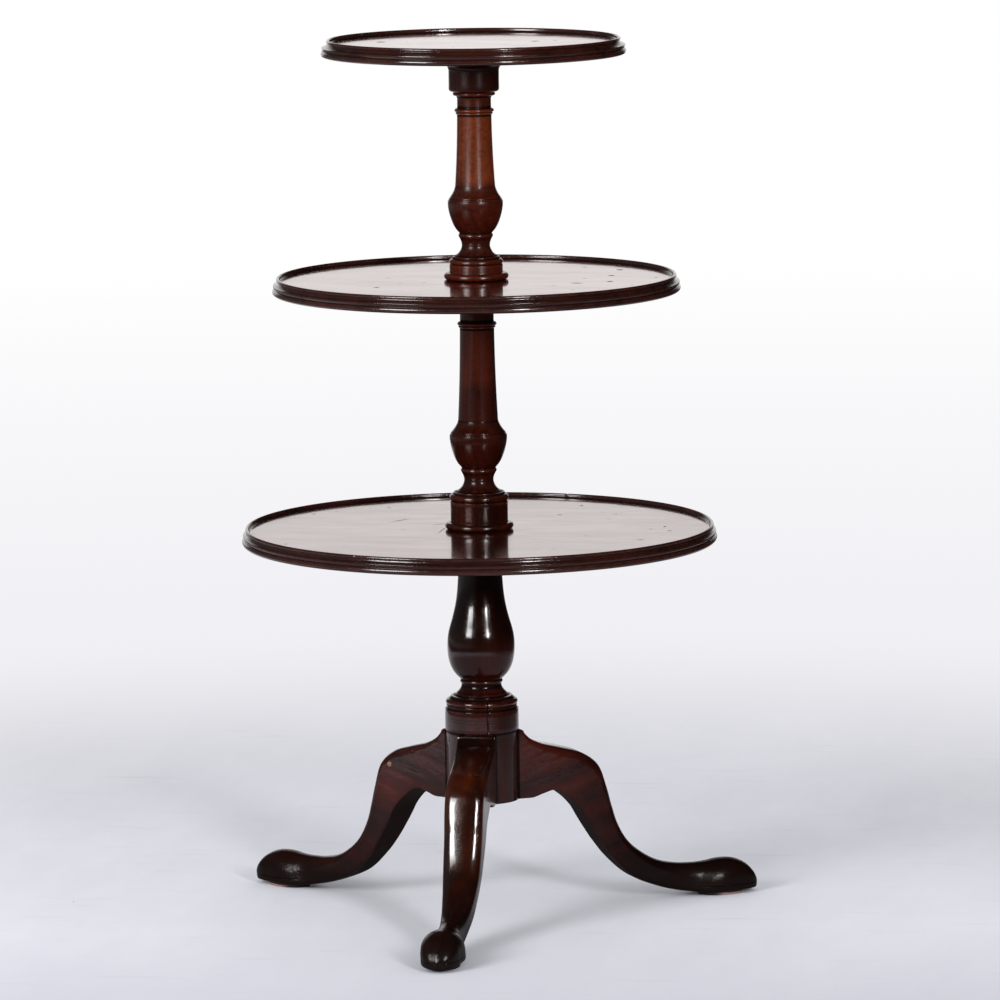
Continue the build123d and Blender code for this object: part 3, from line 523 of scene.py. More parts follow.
def smooth_stations(rows, between):
    """Stations with smooth ones between them."""
    out = []
    for place in range(len(rows) - 1):
        before, here = rows[max(place - 1, 0)], rows[place]
        there, after = rows[place + 1], rows[min(place + 2, len(rows) - 1)]
        for part in range(between):
            t = part / between
            out.append([0.5 * (2 * b + (c - a) * t + (2 * a - 5 * b + 4 * c - d) * t * t
                               + (3 * b - a - 3 * c + d) * t ** 3)
                        for a, b, c, d in zip(before, here, there, after)])
    return out + [list(rows[-1])]


def between_0_and_1(value):
    """The value, cut off below 0 and above 1."""
    return min(1, max(0, value))


def carve_leg(name, angle, finish, seed):
    """A leg carved along its stations, with soft unevenness left by the spokeshave. Its points carry how proud
    they stand, counted as hollow where the leg meets the hub so that its polish lays painted shade there, and
    whether they are on the sawn underside."""
    stations = smooth_stations(leg_stations, leg_between)
    points, under, edge = [], [], []
    for top_reach, top, low_reach, low, half, crown, upper, lower, widest in stations:
        head, foot = Vector((top_reach, 0, top)), Vector((low_reach, 0, low))
        for spot in range(ring_points):
            phase = 2 * pi * (spot + 0.5) / ring_points
            on_back = sin(phase) > 0
            square = upper if on_back else lower
            wide = copysign(abs(cos(phase)) ** (2 / square), cos(phase))
            high = abs(sin(phase)) ** (2 / square)
            level = widest + (1 - widest) * high if on_back else widest - widest * high
            level -= crown / max((head - foot).length, 1) * wide * wide * max(0, sin(phase)) ** 0.1
            point = foot + (head - foot) * level + Vector((0, wide * half, 0))
            toe = between_0_and_1((top_reach - ridge_start) / (ridge_full - ridge_start))
            ridge = ridge_height * exp(-(point.y / ridge_breadth) ** 2) * toe * on_back
            point += (point - pad_centre).normalized() * ridge
            points.append(point)
            under.append(1.0 if sin(phase) < 0 and high > 0.985 and top_reach < 300 else 0.0)
            from_hub = abs(hypot(point.x, point.y) - hub_surface)
            arris = max(0, min(abs(wide), high) - 0.9) * 9 if square > 6 else 0.1 + ridge * 0.5
            # Within 3.2 mm of the hub a point counts as hollow, which darkens it with painted shade where the leg
            # meets the hub
            edge.append(from_hub / 4 - 0.7 if from_hub < 3.2 else arris)
    rings = len(stations)
    faces = [(ring * ring_points + spot, ring * ring_points + (spot + 1) % ring_points,
              (ring + 1) * ring_points + (spot + 1) % ring_points, (ring + 1) * ring_points + spot)
             for ring in range(rings - 1) for spot in range(ring_points)]
    faces.append(tuple(range(ring_points))[::-1])
    faces.append(tuple(range((rings - 1) * ring_points, rings * ring_points)))
    turned_round = Matrix.Rotation(radians(angle), 4, "Z")
    placed = []
    for point in points:
        uneven = noise.noise_vector(point * waves_per_mm + Vector((seed * 7.3, 0, 0))) * uneven_height
        clear = between_0_and_1((point.x - 60) / 40) * between_0_and_1((point.z - 6) / 8)
        placed.append(turned_round @ ((point + uneven * clear) * mm))
    mesh = bpy.data.meshes.new(name)
    mesh.from_pydata(placed, [], faces)
    mesh.attributes.new("proud", "FLOAT", "POINT").data.foreach_set("value", edge)
    mesh.attributes.new("under", "FLOAT", "POINT").data.foreach_set("value", under)
    mesh.polygons.foreach_set("use_smooth", [True] * len(mesh.polygons))
    mesh.materials.append(finish)
    piece = bpy.data.objects.new(name, mesh)
    bpy.context.scene.collection.objects.link(piece)
    return piece


# Each leg's looks by its angle: the light and the dark of its wood, how uneven it is in mm, how strong its
# ribbons are, the IOR of its polish, the depth of its tool marks in mm, the reach in mm from which its colour
# is darker, and the share of its colour that is left at the toe
leg_looks = {
    -90: ("#4c2210", "#0c0504", 0.06, 0.5, 1.8, 0.1, 170, 0.42),
    30: ("#541f16", "#190a08", 0.14, 0.62, 1.5, 0.5, 115, 0.15),
    150: ("#541f16", "#190a08", 0.14, 0.62, 1.5, 0.5, 170, 0.42),
}


def leg_finish(name, angle, seed):
    """The polish of a leg, with the grain dipping 18 degrees from hub to foot, and its raw underside."""
    light, dark, uneven, stripes, coat_ior, tooled, darker_from, left_at_toe = leg_looks[angle]
    dip = Matrix.Rotation(radians(18 - 90), 3, "Y") @ Matrix.Rotation(radians(-angle), 3, "Z")
    material = mahogany(name, dip.to_euler(), light, dark, seed, rub="carved", worn="#54281a", uneven=uneven,
                        stripes=stripes, ringed=0.06, tone=0.45, coat_roughness=0.09, coat_ior=coat_ior,
                        tooled=tooled)
    tree = material.node_tree
    shader = tree.nodes["Principled BSDF"]
    colour, rough, relief, shine = (shader.inputs[socket].links[0].from_socket
                                    for socket in ("Base Color", "Roughness", "Normal", "Coat Weight"))
    here = add(tree, "ShaderNodeTexCoord").outputs["Object"]
    level = add(tree, "ShaderNodeSeparateXYZ", (here,)).outputs["Z"]
    outwards = add(tree, "ShaderNodeVectorMath", (here, (1.0, 1.0, 0.0)), operation="MULTIPLY").outputs[0]
    outwards = add(tree, "ShaderNodeVectorMath", (outwards,), operation="LENGTH").outputs["Value"]

    # The colour darkens from that reach out to the toe, and on the front leg near the hub too
    smoky = add(tree, "ShaderNodeTexNoise", {"Vector": here, "Scale": 18.0, "Detail": 4.0}).outputs["Fac"]
    drift = add(tree, "ShaderNodeMath", (smoky, 90 * mm, outwards), operation="MULTIPLY_ADD").outputs[0]
    left = add(tree, "ShaderNodeMapRange", (drift, darker_from * mm, 250 * mm, 1.0, left_at_toe)).outputs[0]
    if angle == -90:
        from_hub = add(tree, "ShaderNodeMapRange", (drift, 118 * mm, 168 * mm, 0.3)).outputs[0]
        left = add(tree, "ShaderNodeMath", (left, from_hub), operation="MULTIPLY").outputs[0]
    grey = add(tree, "ShaderNodeCombineColor", (left, left, left)).outputs[0]
    colour = add(tree, "ShaderNodeMix", {0: 1.0, 6: colour, 7: grey}, data_type="RGBA",
                 blend_type="MULTIPLY").outputs[2]
    laid_on = []
    if angle == -90:
        # The front knee is rubbed to orange-brown
        knee = add(tree, "ShaderNodeMath", (drift, 178 * mm), operation="SUBTRACT").outputs[0]
        knee = add(tree, "ShaderNodeMath", (knee,), operation="ABSOLUTE").outputs[0]
        knee = add(tree, "ShaderNodeMapRange", (knee, 42 * mm, 6 * mm, 0.0, 0.45)).outputs[0]
        torn = add(tree, "ShaderNodeTexNoise", {
            "Vector": here, "Scale": 75.0, "Detail": 4.0, "Roughness": 0.6}).outputs["Fac"]
        torn = add(tree, "ShaderNodeMapRange", (torn, 0.38, 0.62)).outputs[0]
        knee = add(tree, "ShaderNodeMath", (knee, torn), operation="MULTIPLY").outputs[0]
        laid_on.append((knee, "#552a12"))
    if angle == 150:
        # A knock on the left knee has broken the polish to a few cream specks
        away = add(tree, "ShaderNodeVectorMath", (here, (-130.3 * mm, 46.4 * mm, 186 * mm)),
                   operation="DISTANCE").outputs["Value"]
        crumbs = add(tree, "ShaderNodeTexNoise", {"Vector": here, "Scale": 620.0, "Detail": 2.0}).outputs["Fac"]
        broken = add(tree, "ShaderNodeMath", (crumbs, -13 * mm, away), operation="MULTIPLY_ADD").outputs[0]
        chip = add(tree, "ShaderNodeMapRange", (broken, -3.6 * mm, -4.4 * mm)).outputs[0]
        laid_on.append((chip, "#98867a"))

    # The underside is unpolished, oxidised wood: a dull grey-brown
    under = add(tree, "ShaderNodeAttribute", attribute_name="under").outputs["Fac"]
    rough = add(tree, "ShaderNodeMix", {0: under, 2: rough, 3: 0.6}).outputs[0]

    # The pads have lost their polish to mops and shoes, and hold black dirt
    blotch = add(tree, "ShaderNodeTexNoise", {"Vector": here, "Scale": 55.0, "Detail": 4.0}).outputs["Fac"]
    ragged = add(tree, "ShaderNodeMath", (blotch, -36 * mm, level), operation="MULTIPLY_ADD").outputs[0]
    scuffed = add(tree, "ShaderNodeMapRange", (ragged, 48 * mm, 8 * mm)).outputs[0]

    # A line is cut round each pad 13.4 mm above the floor: a sunk bump, painted black as the shade in the cut
    on_pad = add(tree, "ShaderNodeMapRange", (outwards, 298 * mm, 312 * mm)).outputs[0]
    cut = add(tree, "ShaderNodeMath", (level, 13.4 * mm), operation="SUBTRACT").outputs[0]
    cut = add(tree, "ShaderNodeMath", (cut,), operation="ABSOLUTE").outputs[0]
    cut = add(tree, "ShaderNodeMapRange", (cut, 1.1 * mm, 0.3 * mm)).outputs[0]
    cut = add(tree, "ShaderNodeMath", (cut, on_pad), operation="MULTIPLY").outputs[0]

    # Painted highlight with shoe wear: the ridge of each toe is pale, in a broken line
    proud = add(tree, "ShaderNodeAttribute", attribute_name="proud").outputs["Fac"]
    ridge_highlight_and_wear = add(tree, "ShaderNodeMapRange", (proud, 0.5, 0.7)).outputs[0]
    broken = add(tree, "ShaderNodeTexNoise", {"Vector": here, "Scale": 260.0, "Detail": 3.0}).outputs["Fac"]
    broken = add(tree, "ShaderNodeMapRange", (broken, 0.42, 0.56)).outputs[0]
    above_cut = add(tree, "ShaderNodeMapRange", (level, 14 * mm, 16 * mm, 0.0, 0.7)).outputs[0]
    for share in (broken, above_cut, on_pad):
        ridge_highlight_and_wear = add(tree, "ShaderNodeMath", (ridge_highlight_and_wear, share), operation="MULTIPLY").outputs[0]
    laid_on += [(under, "#2a1a17"), (scuffed, "#140a08"), (ridge_highlight_and_wear, "#aaa6a2"), (cut, "#040202")]
    for share, laid in laid_on:
        colour = add(tree, "ShaderNodeMix", {0: share, 6: colour, 7: linear(laid)}, data_type="RGBA").outputs[2]

    # The old polish on the pads has crazed, so that their shine is grainy; the cracks are drawn 3 mm apart
    crazed = add(tree, "ShaderNodeTexNoise", {"Vector": here, "Scale": 340.0, "Detail": 4.0}).outputs["Fac"]
    towards_toe = add(tree, "ShaderNodeMapRange", (outwards, 250 * mm, 310 * mm)).outputs[0]
    crazed = add(tree, "ShaderNodeMath", (crazed, towards_toe), operation="MULTIPLY").outputs[0]
    for depth, height, sunk in ((0.5, cut, True), (0.35, crazed, False)):
        relief = add(tree, "ShaderNodeBump", {"Strength": 1.0, "Distance": depth * mm, "Height": height,
                                              "Normal": relief}, invert=sunk).outputs[0]

    # Bare wood has no coat of polish
    bare = add(tree, "ShaderNodeMath", (scuffed, 0.85), operation="MULTIPLY").outputs[0]
    bare = add(tree, "ShaderNodeMath", (bare, under), operation="MAXIMUM").outputs[0]
    if angle != -90:
        thinned = add(tree, "ShaderNodeMapRange", (left, 1.0, 0.3, 0.0, 0.7)).outputs[0]
        bare = add(tree, "ShaderNodeMath", (bare, thinned), operation="MAXIMUM").outputs[0]
    coat = add(tree, "ShaderNodeMapRange", (bare, 0.0, 1.0, 1.0, 0.0)).outputs[0]
    coat = add(tree, "ShaderNodeMath", (coat, shine), operation="MULTIPLY").outputs[0]
    for socket, value in (("Base Color", colour), ("Roughness", rough), ("Normal", relief),
                          ("Coat Normal", relief), ("Coat Weight", coat)):
        tree.links.new(value, shader.inputs[socket])
    return material


for number, (side, angle) in enumerate(leg_angles.items(), start=2):
    finish = leg_finish("french_polished_mahogany_leg_" + side, angle, number)
    leg = carve_leg("leg_%s_carved" % side, angle, finish, number)
    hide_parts("leg_" + side)
    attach(leg, "base")


# Foot discs. Oval slips of softwood glued under the pads in a later repair, stained to match and
# worn back to raw red-brown wood along the bottom edge. Their arrises are rubbed round.
disc_centre, disc_half_length, disc_half_width, disc_thickness = 332.0, 31.05, 21.5, 5.0


def disc_finish():
    """Stained softwood, dull and dusty: dark at the top, rubbed to reddish raw wood where it meets the floor."""
    material = bpy.data.materials.new("worn_stained_softwood")
    material.use_nodes = True
    tree = material.node_tree
    shader = tree.nodes["Principled BSDF"]
    here = add(tree, "ShaderNodeTexCoord").outputs["Object"]
    place = add(tree, "ShaderNodeSeparateXYZ", (here,)).outputs
    grain = add(tree, "ShaderNodeMapping", {"Vector": here, "Scale": (0.12, 1.0, 1.0)}).outputs[0]
    lines = add(tree, "ShaderNodeTexNoise", {"Vector": grain, "Scale": 900.0, "Detail": 3.0}).outputs["Fac"]
    patches = add(tree, "ShaderNodeTexNoise", {"Vector": here, "Scale": 70.0, "Detail": 4.0}).outputs["Fac"]
    ragged = add(tree, "ShaderNodeMath", (patches, 3.2 * mm, place["Z"]), operation="MULTIPLY_ADD").outputs[0]
    low = add(tree, "ShaderNodeMapRange", (ragged, 4.8 * mm, 3.4 * mm)).outputs[0]
    # Only the toe sides of the two side feet are rubbed bare
    aside = add(tree, "ShaderNodeMath", (place["X"],), operation="ABSOLUTE").outputs[0]
    toe = add(tree, "ShaderNodeMapRange", (aside, 285 * mm, 296 * mm)).outputs[0]
    low = add(tree, "ShaderNodeMath", (low, toe), operation="MULTIPLY").outputs[0]
    stain, raw = (
        add(tree, "ShaderNodeMix", {0: lines, 6: linear(dark), 7: linear(light)}, data_type="RGBA").outputs[2]
        for dark, light in (("#0d0606", "#1f0f0e"), ("#7c5750", "#bd9a94")))
    wood = add(tree, "ShaderNodeMix", {0: low, 6: stain, 7: raw}, data_type="RGBA").outputs[2]
    tree.links.new(wood, shader.inputs["Base Color"])
    relief = add(tree, "ShaderNodeBump", {"Strength": 0.6, "Distance": 0.15 * mm, "Height": lines}).outputs[0]
    tree.links.new(relief, shader.inputs["Normal"])
    rough = add(tree, "ShaderNodeMapRange", (patches, 0.0, 1.0, 0.5, 0.85)).outputs[0]
    tree.links.new(rough, shader.inputs["Roughness"])
    return material


disc_wood = disc_finish()
# Across the disc's edge: how far in from the oval, and the height, both in mm
disc_edge = [(1.2, 0.0), (0.5, 0.25), (0.1, 0.9), (0.0, 2.0), (0.05, 3.6), (0.4, 4.6), (1.1, disc_thickness)]
disc_sides = 96
for side, angle in leg_angles.items():
    points = []
    for inset, level in disc_edge:
        for place in range(disc_sides):
            turn_to = 2 * pi * place / disc_sides
            points.append(((disc_half_length - inset) * cos(turn_to) + disc_centre,
                           (disc_half_width - inset) * sin(turn_to), level))
    faces = [(row * disc_sides + place, row * disc_sides + (place + 1) % disc_sides,
              (row + 1) * disc_sides + (place + 1) % disc_sides, (row + 1) * disc_sides + place)
             for row in range(len(disc_edge) - 1) for place in range(disc_sides)]
    faces.append(tuple(range(disc_sides))[::-1])
    faces.append(tuple(range((len(disc_edge) - 1) * disc_sides, len(disc_edge) * disc_sides)))
    mesh = bpy.data.meshes.new("foot_disc_%s_rounded" % side)
    turned_round = Matrix.Rotation(radians(angle), 4, "Z")
    mesh.from_pydata([turned_round @ (Vector(point) * mm) for point in points], [], faces)
    mesh.polygons.foreach_set("use_smooth", [True] * (len(mesh.polygons) - 2) + [False] * 2)
    mesh.materials.append(disc_wood)
    disc = bpy.data.objects.new("foot_disc_%s_rounded" % side, mesh)
    bpy.context.scene.collection.objects.link(disc)
    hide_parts("foot_disc_" + side)
    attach(disc, "base")


# Leg brace. A three-armed strap cut and hammered from sheet iron, lying under the hub and the feet
# of the legs to keep the dovetails shut. It is black with scale and handling, and brown with rust.
def iron_finish():
    """Wrought iron with old scale: dull dark grey metal, dimpled by the hammer, with brown rust in patches."""
    material = bpy.data.materials.new("wrought_iron_with_old_scale")
    material.use_nodes = True
    tree = material.node_tree
    shader = tree.nodes["Principled BSDF"]
    here = add(tree, "ShaderNodeTexCoord").outputs["Object"]
    blows = add(tree, "ShaderNodeTexVoronoi", {"Vector": here, "Scale": 150.0},
                feature="SMOOTH_F1").outputs["Distance"]
    fine = add(tree, "ShaderNodeTexNoise", {"Vector": here, "Scale": 700.0, "Detail": 5.0}).outputs["Fac"]
    patches = add(tree, "ShaderNodeTexNoise", {"Vector": here, "Scale": 110.0, "Detail": 5.0}).outputs["Fac"]
    rust = add(tree, "ShaderNodeMapRange", (patches, 0.5, 0.66)).outputs[0]
    scale, brown = (
        add(tree, "ShaderNodeMix", {0: fine, 6: linear(dark), 7: linear(light)}, data_type="RGBA").outputs[2]
        for dark, light in (("#262423", "#4a4643"), ("#2b1610", "#5b3220")))
    colour = add(tree, "ShaderNodeMix", {0: rust, 6: scale, 7: brown}, data_type="RGBA").outputs[2]
    tree.links.new(colour, shader.inputs["Base Color"])
    for socket, on_scale, on_rust in (("Metallic", 0.85, 0.15), ("Roughness", 0.48, 0.85)):
        value = add(tree, "ShaderNodeMapRange", (rust, 0.0, 1.0, on_scale, on_rust)).outputs[0]
        tree.links.new(value, shader.inputs[socket])
    relief = add(tree, "ShaderNodeBump", {"Strength": 0.8, "Distance": 0.5 * mm, "Height": blows}).outputs[0]
    relief = add(tree, "ShaderNodeBump", {"Strength": 0.5, "Distance": 0.08 * mm, "Height": fine,
                                          "Normal": relief}).outputs[0]
    tree.links.new(relief, shader.inputs["Normal"])
    return material


iron = iron_finish()


def finish_node(node, material):
    """Gives a CAD node its material."""
    shown = cad[node]
    shown.data.materials.clear()
    shown.data.materials.append(material)


finish_node("leg_brace", iron)


# Brace nails. Six hand-made nails with rose heads faceted by the hammer, each a little
# different and turned its own way, driven up through the strap into the hub and the legs.
nail_head, nail_head_rise, nail_neck, nail_tip, nail_shank = 4.2, 1.8, 1.8, 0.8, 22.0
strap_underside = 148.5
nail_reaches = (18.0, 58.0)


def nail_tree():
    """Geometry nodes that set a nail at every point of its mesh and turn each one by its own angle."""
    tree = bpy.data.node_groups.new("nails_at_their_holes", "GeometryNodeTree")
    tree.interface.new_socket("Holes", in_out="INPUT", socket_type="NodeSocketGeometry")
    for name, value in (("Head radius", nail_head), ("Head rise", nail_head_rise), ("Neck radius", nail_neck),
                        ("Tip radius", nail_tip), ("Shank length", nail_shank)):
        tree.interface.new_socket(name, in_out="INPUT", socket_type="NodeSocketFloat").default_value = value * mm
    tree.interface.new_socket("Seed", in_out="INPUT", socket_type="NodeSocketInt").default_value = 4
    tree.interface.new_socket("Finish", in_out="INPUT", socket_type="NodeSocketMaterial")
    tree.interface.new_socket("Nails", in_out="OUTPUT", socket_type="NodeSocketGeometry")
    given = add(tree, "NodeGroupInput").outputs
    peak = add(tree, "ShaderNodeMath", (given["Head radius"], 0.3), operation="MULTIPLY").outputs[0]
    head = add(tree, "GeometryNodeMeshCone", {
        "Vertices": 9, "Radius Top": given["Head radius"], "Radius Bottom": peak,
        "Depth": given["Head rise"]}).outputs["Mesh"]
    shank = add(tree, "GeometryNodeMeshCone", {
        "Vertices": 8, "Radius Top": given["Tip radius"], "Radius Bottom": given["Neck radius"],
        "Depth": given["Shank length"]}).outputs["Mesh"]
    drop = add(tree, "ShaderNodeMath", (given["Head rise"], -1.0), operation="MULTIPLY").outputs[0]
    drop = add(tree, "ShaderNodeCombineXYZ", {"Z": drop}).outputs[0]
    head_down = add(tree, "GeometryNodeTransform", {"Geometry": head, "Translation": drop}).outputs[0]
    nail = add(tree, "GeometryNodeJoinGeometry")
    tree.links.new(head_down, nail.inputs[0])
    tree.links.new(shank, nail.inputs[0])
    twist, stout = (
        add(tree, "FunctionNodeRandomValue", {"Min": least, "Max": most, "Seed": given["Seed"]},
            data_type="FLOAT_VECTOR").outputs[0]
        for least, most in (((-0.06, -0.06, 0.0), (0.06, 0.06, 6.28)), ((0.88, 0.88, 0.85), (1.0, 1.0, 1.0))))
    spots = add(tree, "GeometryNodeMeshToPoints", {"Mesh": given["Holes"]}).outputs[0]
    driven = add(tree, "GeometryNodeInstanceOnPoints", {
        "Points": spots, "Instance": nail.outputs[0], "Rotation": twist, "Scale": stout}).outputs[0]
    real = add(tree, "GeometryNodeRealizeInstances", {"Geometry": driven}).outputs[0]
    flat = add(tree, "GeometryNodeSetShadeSmooth", {"Geometry": real, "Shade Smooth": False}).outputs[0]
    finished = add(tree, "GeometryNodeSetMaterial", {"Geometry": flat, "Material": given["Finish"]}).outputs[0]
    add(tree, "NodeGroupOutput", {"Nails": finished})
    return tree


nailing = nail_tree()
holes = bpy.data.meshes.new("brace_nails_rose_headed")
holes.from_pydata([Matrix.Rotation(radians(angle), 4, "Z") @ Vector((reach * mm, 0, strap_underside * mm))
                   for angle in leg_angles.values() for reach in nail_reaches], [], [])
nails = bpy.data.objects.new("brace_nails_rose_headed", holes)
bpy.context.scene.collection.objects.link(nails)
hammer = nails.modifiers.new("Nails", "NODES")
hammer.node_group = nailing
for item in nailing.interface.items_tree:
    if item.name == "Finish":
        hammer[item.identifier] = iron
settle(nails)
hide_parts("brace_nails")
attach(nails, "base")


# Collars. Each tray is screwed down on a turned mahogany collar that turns with it round the column:
# a plain barrel with a rounded foot and a hollow that opens into a wide flange under the tray.
flange_width, flange_thickness, round_foot, hollow_share = 24.0, 9.0, 4.0, 0.33
# The bulge of a quarter circle over its chord, as a share of its radius
quarter_round = 0.293
tray_bore, top_bore = 17.1, 15.1


def collar(name, radius, height, underside, bore, finish, body):
    """A collar's profile, from its foot to its flange, turned."""
    foot, flange, flange_radius = underside - height, underside - flange_thickness, radius + flange_width
    cove = (height - flange_thickness - round_foot) * hollow_share
    piece = turn(name + "_collar_turned", [
        (bore, foot, None), (radius - round_foot, foot, 0),
        (radius, foot + round_foot, round_foot * quarter_round), (radius, flange - cove, 0),
        (radius + cove, flange, -cove * quarter_round), (flange_radius, flange, 0),
        (flange_radius, underside, 0), (bore, underside, 0), (bore, foot, 0)], finish, facets=160,
        out_of_round=0.0)
    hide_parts(name + "_collar")
    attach(piece, body)


collar_wood = mahogany("polished_mahogany_collars", (0, 0, 0), "#3c1a14", "#150908", 7, coat_roughness=0.2)
collar("lower", 37.0, 26.0, lower_underside, tray_bore, collar_wood, "lower_tier")


# Collar screws. Flat-headed hand-filed steel screws, four to a collar, driven up through its flange
# into the tray. The steel has gone brown-black except where a driver has slipped in the slot.
def steel_finish():
    """Old filed steel: dark brown patina with faint bright scratches across the heads."""
    material = bpy.data.materials.new("patinated_filed_steel")
    material.use_nodes = True
    tree = material.node_tree
    shader = tree.nodes["Principled BSDF"]
    here = add(tree, "ShaderNodeTexCoord").outputs["Object"]
    stretched = add(tree, "ShaderNodeMapping", {"Vector": here, "Scale": (1.0, 0.08, 1.0),
                                                "Rotation": (0, 0, radians(30))}).outputs[0]
    filed = add(tree, "ShaderNodeTexNoise", {"Vector": stretched, "Scale": 4200.0, "Detail": 2.0}).outputs["Fac"]
    bloom = add(tree, "ShaderNodeTexNoise", {"Vector": here, "Scale": 520.0, "Detail": 4.0}).outputs["Fac"]
    bare = add(tree, "ShaderNodeMapRange", (filed, 0.62, 0.75)).outputs[0]
    colour = linear("#2a211c")
    for share, laid in ((bloom, "#4d3d33"), (bare, "#8d8781")):
        colour = add(tree, "ShaderNodeMix", {0: share, 6: colour, 7: linear(laid)}, data_type="RGBA").outputs[2]
    tree.links.new(colour, shader.inputs["Base Color"])
    shader.inputs["Metallic"].default_value = 0.9
    rough = add(tree, "ShaderNodeMapRange", (bloom, 0.0, 1.0, 0.35, 0.65)).outputs[0]
    tree.links.new(rough, shader.inputs["Roughness"])
    relief = add(tree, "ShaderNodeBump", {"Strength": 0.4, "Distance": 0.03 * mm, "Height": filed}).outputs[0]
    tree.links.new(relief, shader.inputs["Normal"])
    return material


steel = steel_finish()
for name in ("lower", "middle", "top"):
    finish_node(name + "_collar_screws", steel)


# Trays. Each is one wide board of mahogany turned on a faceplate: dished on top, with a lip, cove,
# fillet and torus worked on its edge. The floors were scraped and French polished to a mirror, and
# long use has left dents, rings and dark spots. The lowest has split at its back rim.
def tray_finish(name, seed, spin, roughness, marks_at):
    """A tray's polish: broad grain running from side to side, dulled in patches, with scratches and marks."""
    material = mahogany("french_polished_mahogany_%s_tray" % name, (0, radians(90), radians(spin)), "#43201a",
                        "#1e0e0c", seed, rub="dished", roughness=roughness, patches=0.03, base_gloss=0.5,
                        coat_roughness=0.07, worn="#3c1c16", marks_at=marks_at, uneven=0.12, coat_ior=1.5,
                        tint="#f4dcd8", tooled=0.012)
    # Wiping has left broad streaks where the polish is a little thinner
    tree = material.node_tree
    shader = tree.nodes["Principled BSDF"]
    here = add(tree, "ShaderNodeTexCoord").outputs["Object"]
    wiped = add(tree, "ShaderNodeMapping", {
        "Vector": here, "Scale": (0.3, 1.0, 1.0), "Rotation": (0, 0, radians(spin - 35)),
        "Location": (0.3, 0.07 * seed, 0)}).outputs[0]
    streaks = add(tree, "ShaderNodeTexNoise", {
        "Vector": wiped, "Scale": 22.0, "Detail": 6.0, "Roughness": 0.65}).outputs["Fac"]
    thin = add(tree, "ShaderNodeMapRange", (streaks, 0.3, 0.65, 0.76, 1.0)).outputs[0]
    whole = shader.inputs["Coat Weight"].links[0].from_socket
    coat = add(tree, "ShaderNodeMath", (thin, whole), operation="MULTIPLY").outputs[0]
    tree.links.new(coat, shader.inputs["Coat Weight"])
    return material


# Tray edges and undersides: the same wood, but handled, and waxed rather than polished
tray_edge = mahogany("waxed_mahogany_tray_edges", (0, radians(90), 0), "#40221c", "#1c0e0c", 29,
                     coat_roughness=0.12, worn="#4a261e", uneven=0.05, coat_ior=1.6, tint="#f4dcd4",
                     hollows=(-0.3, -0.6), dull_hollows=(-0.45, -0.8), tooled=0.005)

tray_thickness, floor_depth, lip_breadth = 21.5, 5.2, 2.1
# Up a tray's edge to the foot of its cove: how far in from its radius, how far under its rim, and the swell
edge_members = [(4.0, tray_thickness, 0), (2.6, 13.7, 3.3), (1.2, 11.2, 0), (1.2, 9.3, 0)]


def tray(name, radius, rim, cove_inset, bore, finish, body, split=None):
    """A tray's profile, from the bore's foot round the edge to the floor, turned."""
    underside, floor_level = rim - tray_thickness, rim - floor_depth
    lip = radius - cove_inset - 0.7
    wall = lip - lip_breadth
    rows = [(bore, underside, None)]
    rows += [(radius - inset, rim - drop, swell) for inset, drop, swell in edge_members]
    rows += [(radius - cove_inset, rim - 4.4, -1.1), (lip, rim, 1.75), (wall, rim - lip_breadth, 0.615),
             (wall, floor_level + 1.8, 0), (wall - 3.5, floor_level, -0.75), (bore, floor_level, 0)]
    if bore:
        rows.append((bore, underside, 0))
    piece = turn(name + "_tray_turned", rows, finish, ease=0.4, longest=9.0, facets=512, out_of_round=0.0006,
                 split=split)
    on_edge = [hypot(face.center.x, face.center.y) > (wall - 1.0) * mm or face.center.z < (floor_level - 0.5) * mm
               for face in piece.data.polygons]
    piece.data.materials.clear()
    for kind in (finish, tray_edge):
        piece.data.materials.append(kind)
    piece.data.polygons.foreach_set("material_index", on_edge)
    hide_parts(name + "_tray")
    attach(piece, body)


lower_rim, middle_rim, top_rim = 508.996, 830.995, 1134.0
# Marks on a floor: east and north of the axis, half as broad and half as long as the mark, and its bearing
lower_marks = [(-113.7, 63.6, 1.5, 19.0, 58), (-45.3, -22.0, 1.1, 34.0, 88), (-58.0, 32.0, 1.0, 15.0, 52),
               (85.9, 127.6, 3.0, 3.0, 0), (219.7, -87.2, 2.0, 5.0, 20), (236.0, 30.0, 1.6, 6.0, 80),
               (247.0, -6.0, 2.0, 3.5, 10)]
middle_marks = [(169.4, 116.8, 5.0, 5.0, 0), (168.1, 47.9, 4.5, 4.5, 0), (175.8, -23.2, 5.0, 5.0, 0),
                (135.9, -43.7, 4.0, 9.0, 0), (-111.0, -105.2, 3.5, 5.5, 40)]
top_marks = [(-119.6, 0.5, 6.5, 6.5, 0), (77.2, 15.0, 5.0, 7.0, 60), (74.6, -95.4, 5.0, 7.0, 20)]
tray("lower", 305.0, lower_rim, 5.7, tray_bore, tray_finish("lower", 11, 0, 0.2, lower_marks), "lower_tier",
     split={"Split side": radians(76), "Split width": 0.5 * mm, "Split depth": 1.6 * mm,
            "Split foot": 505.0 * mm, "Split head": 510 * mm})


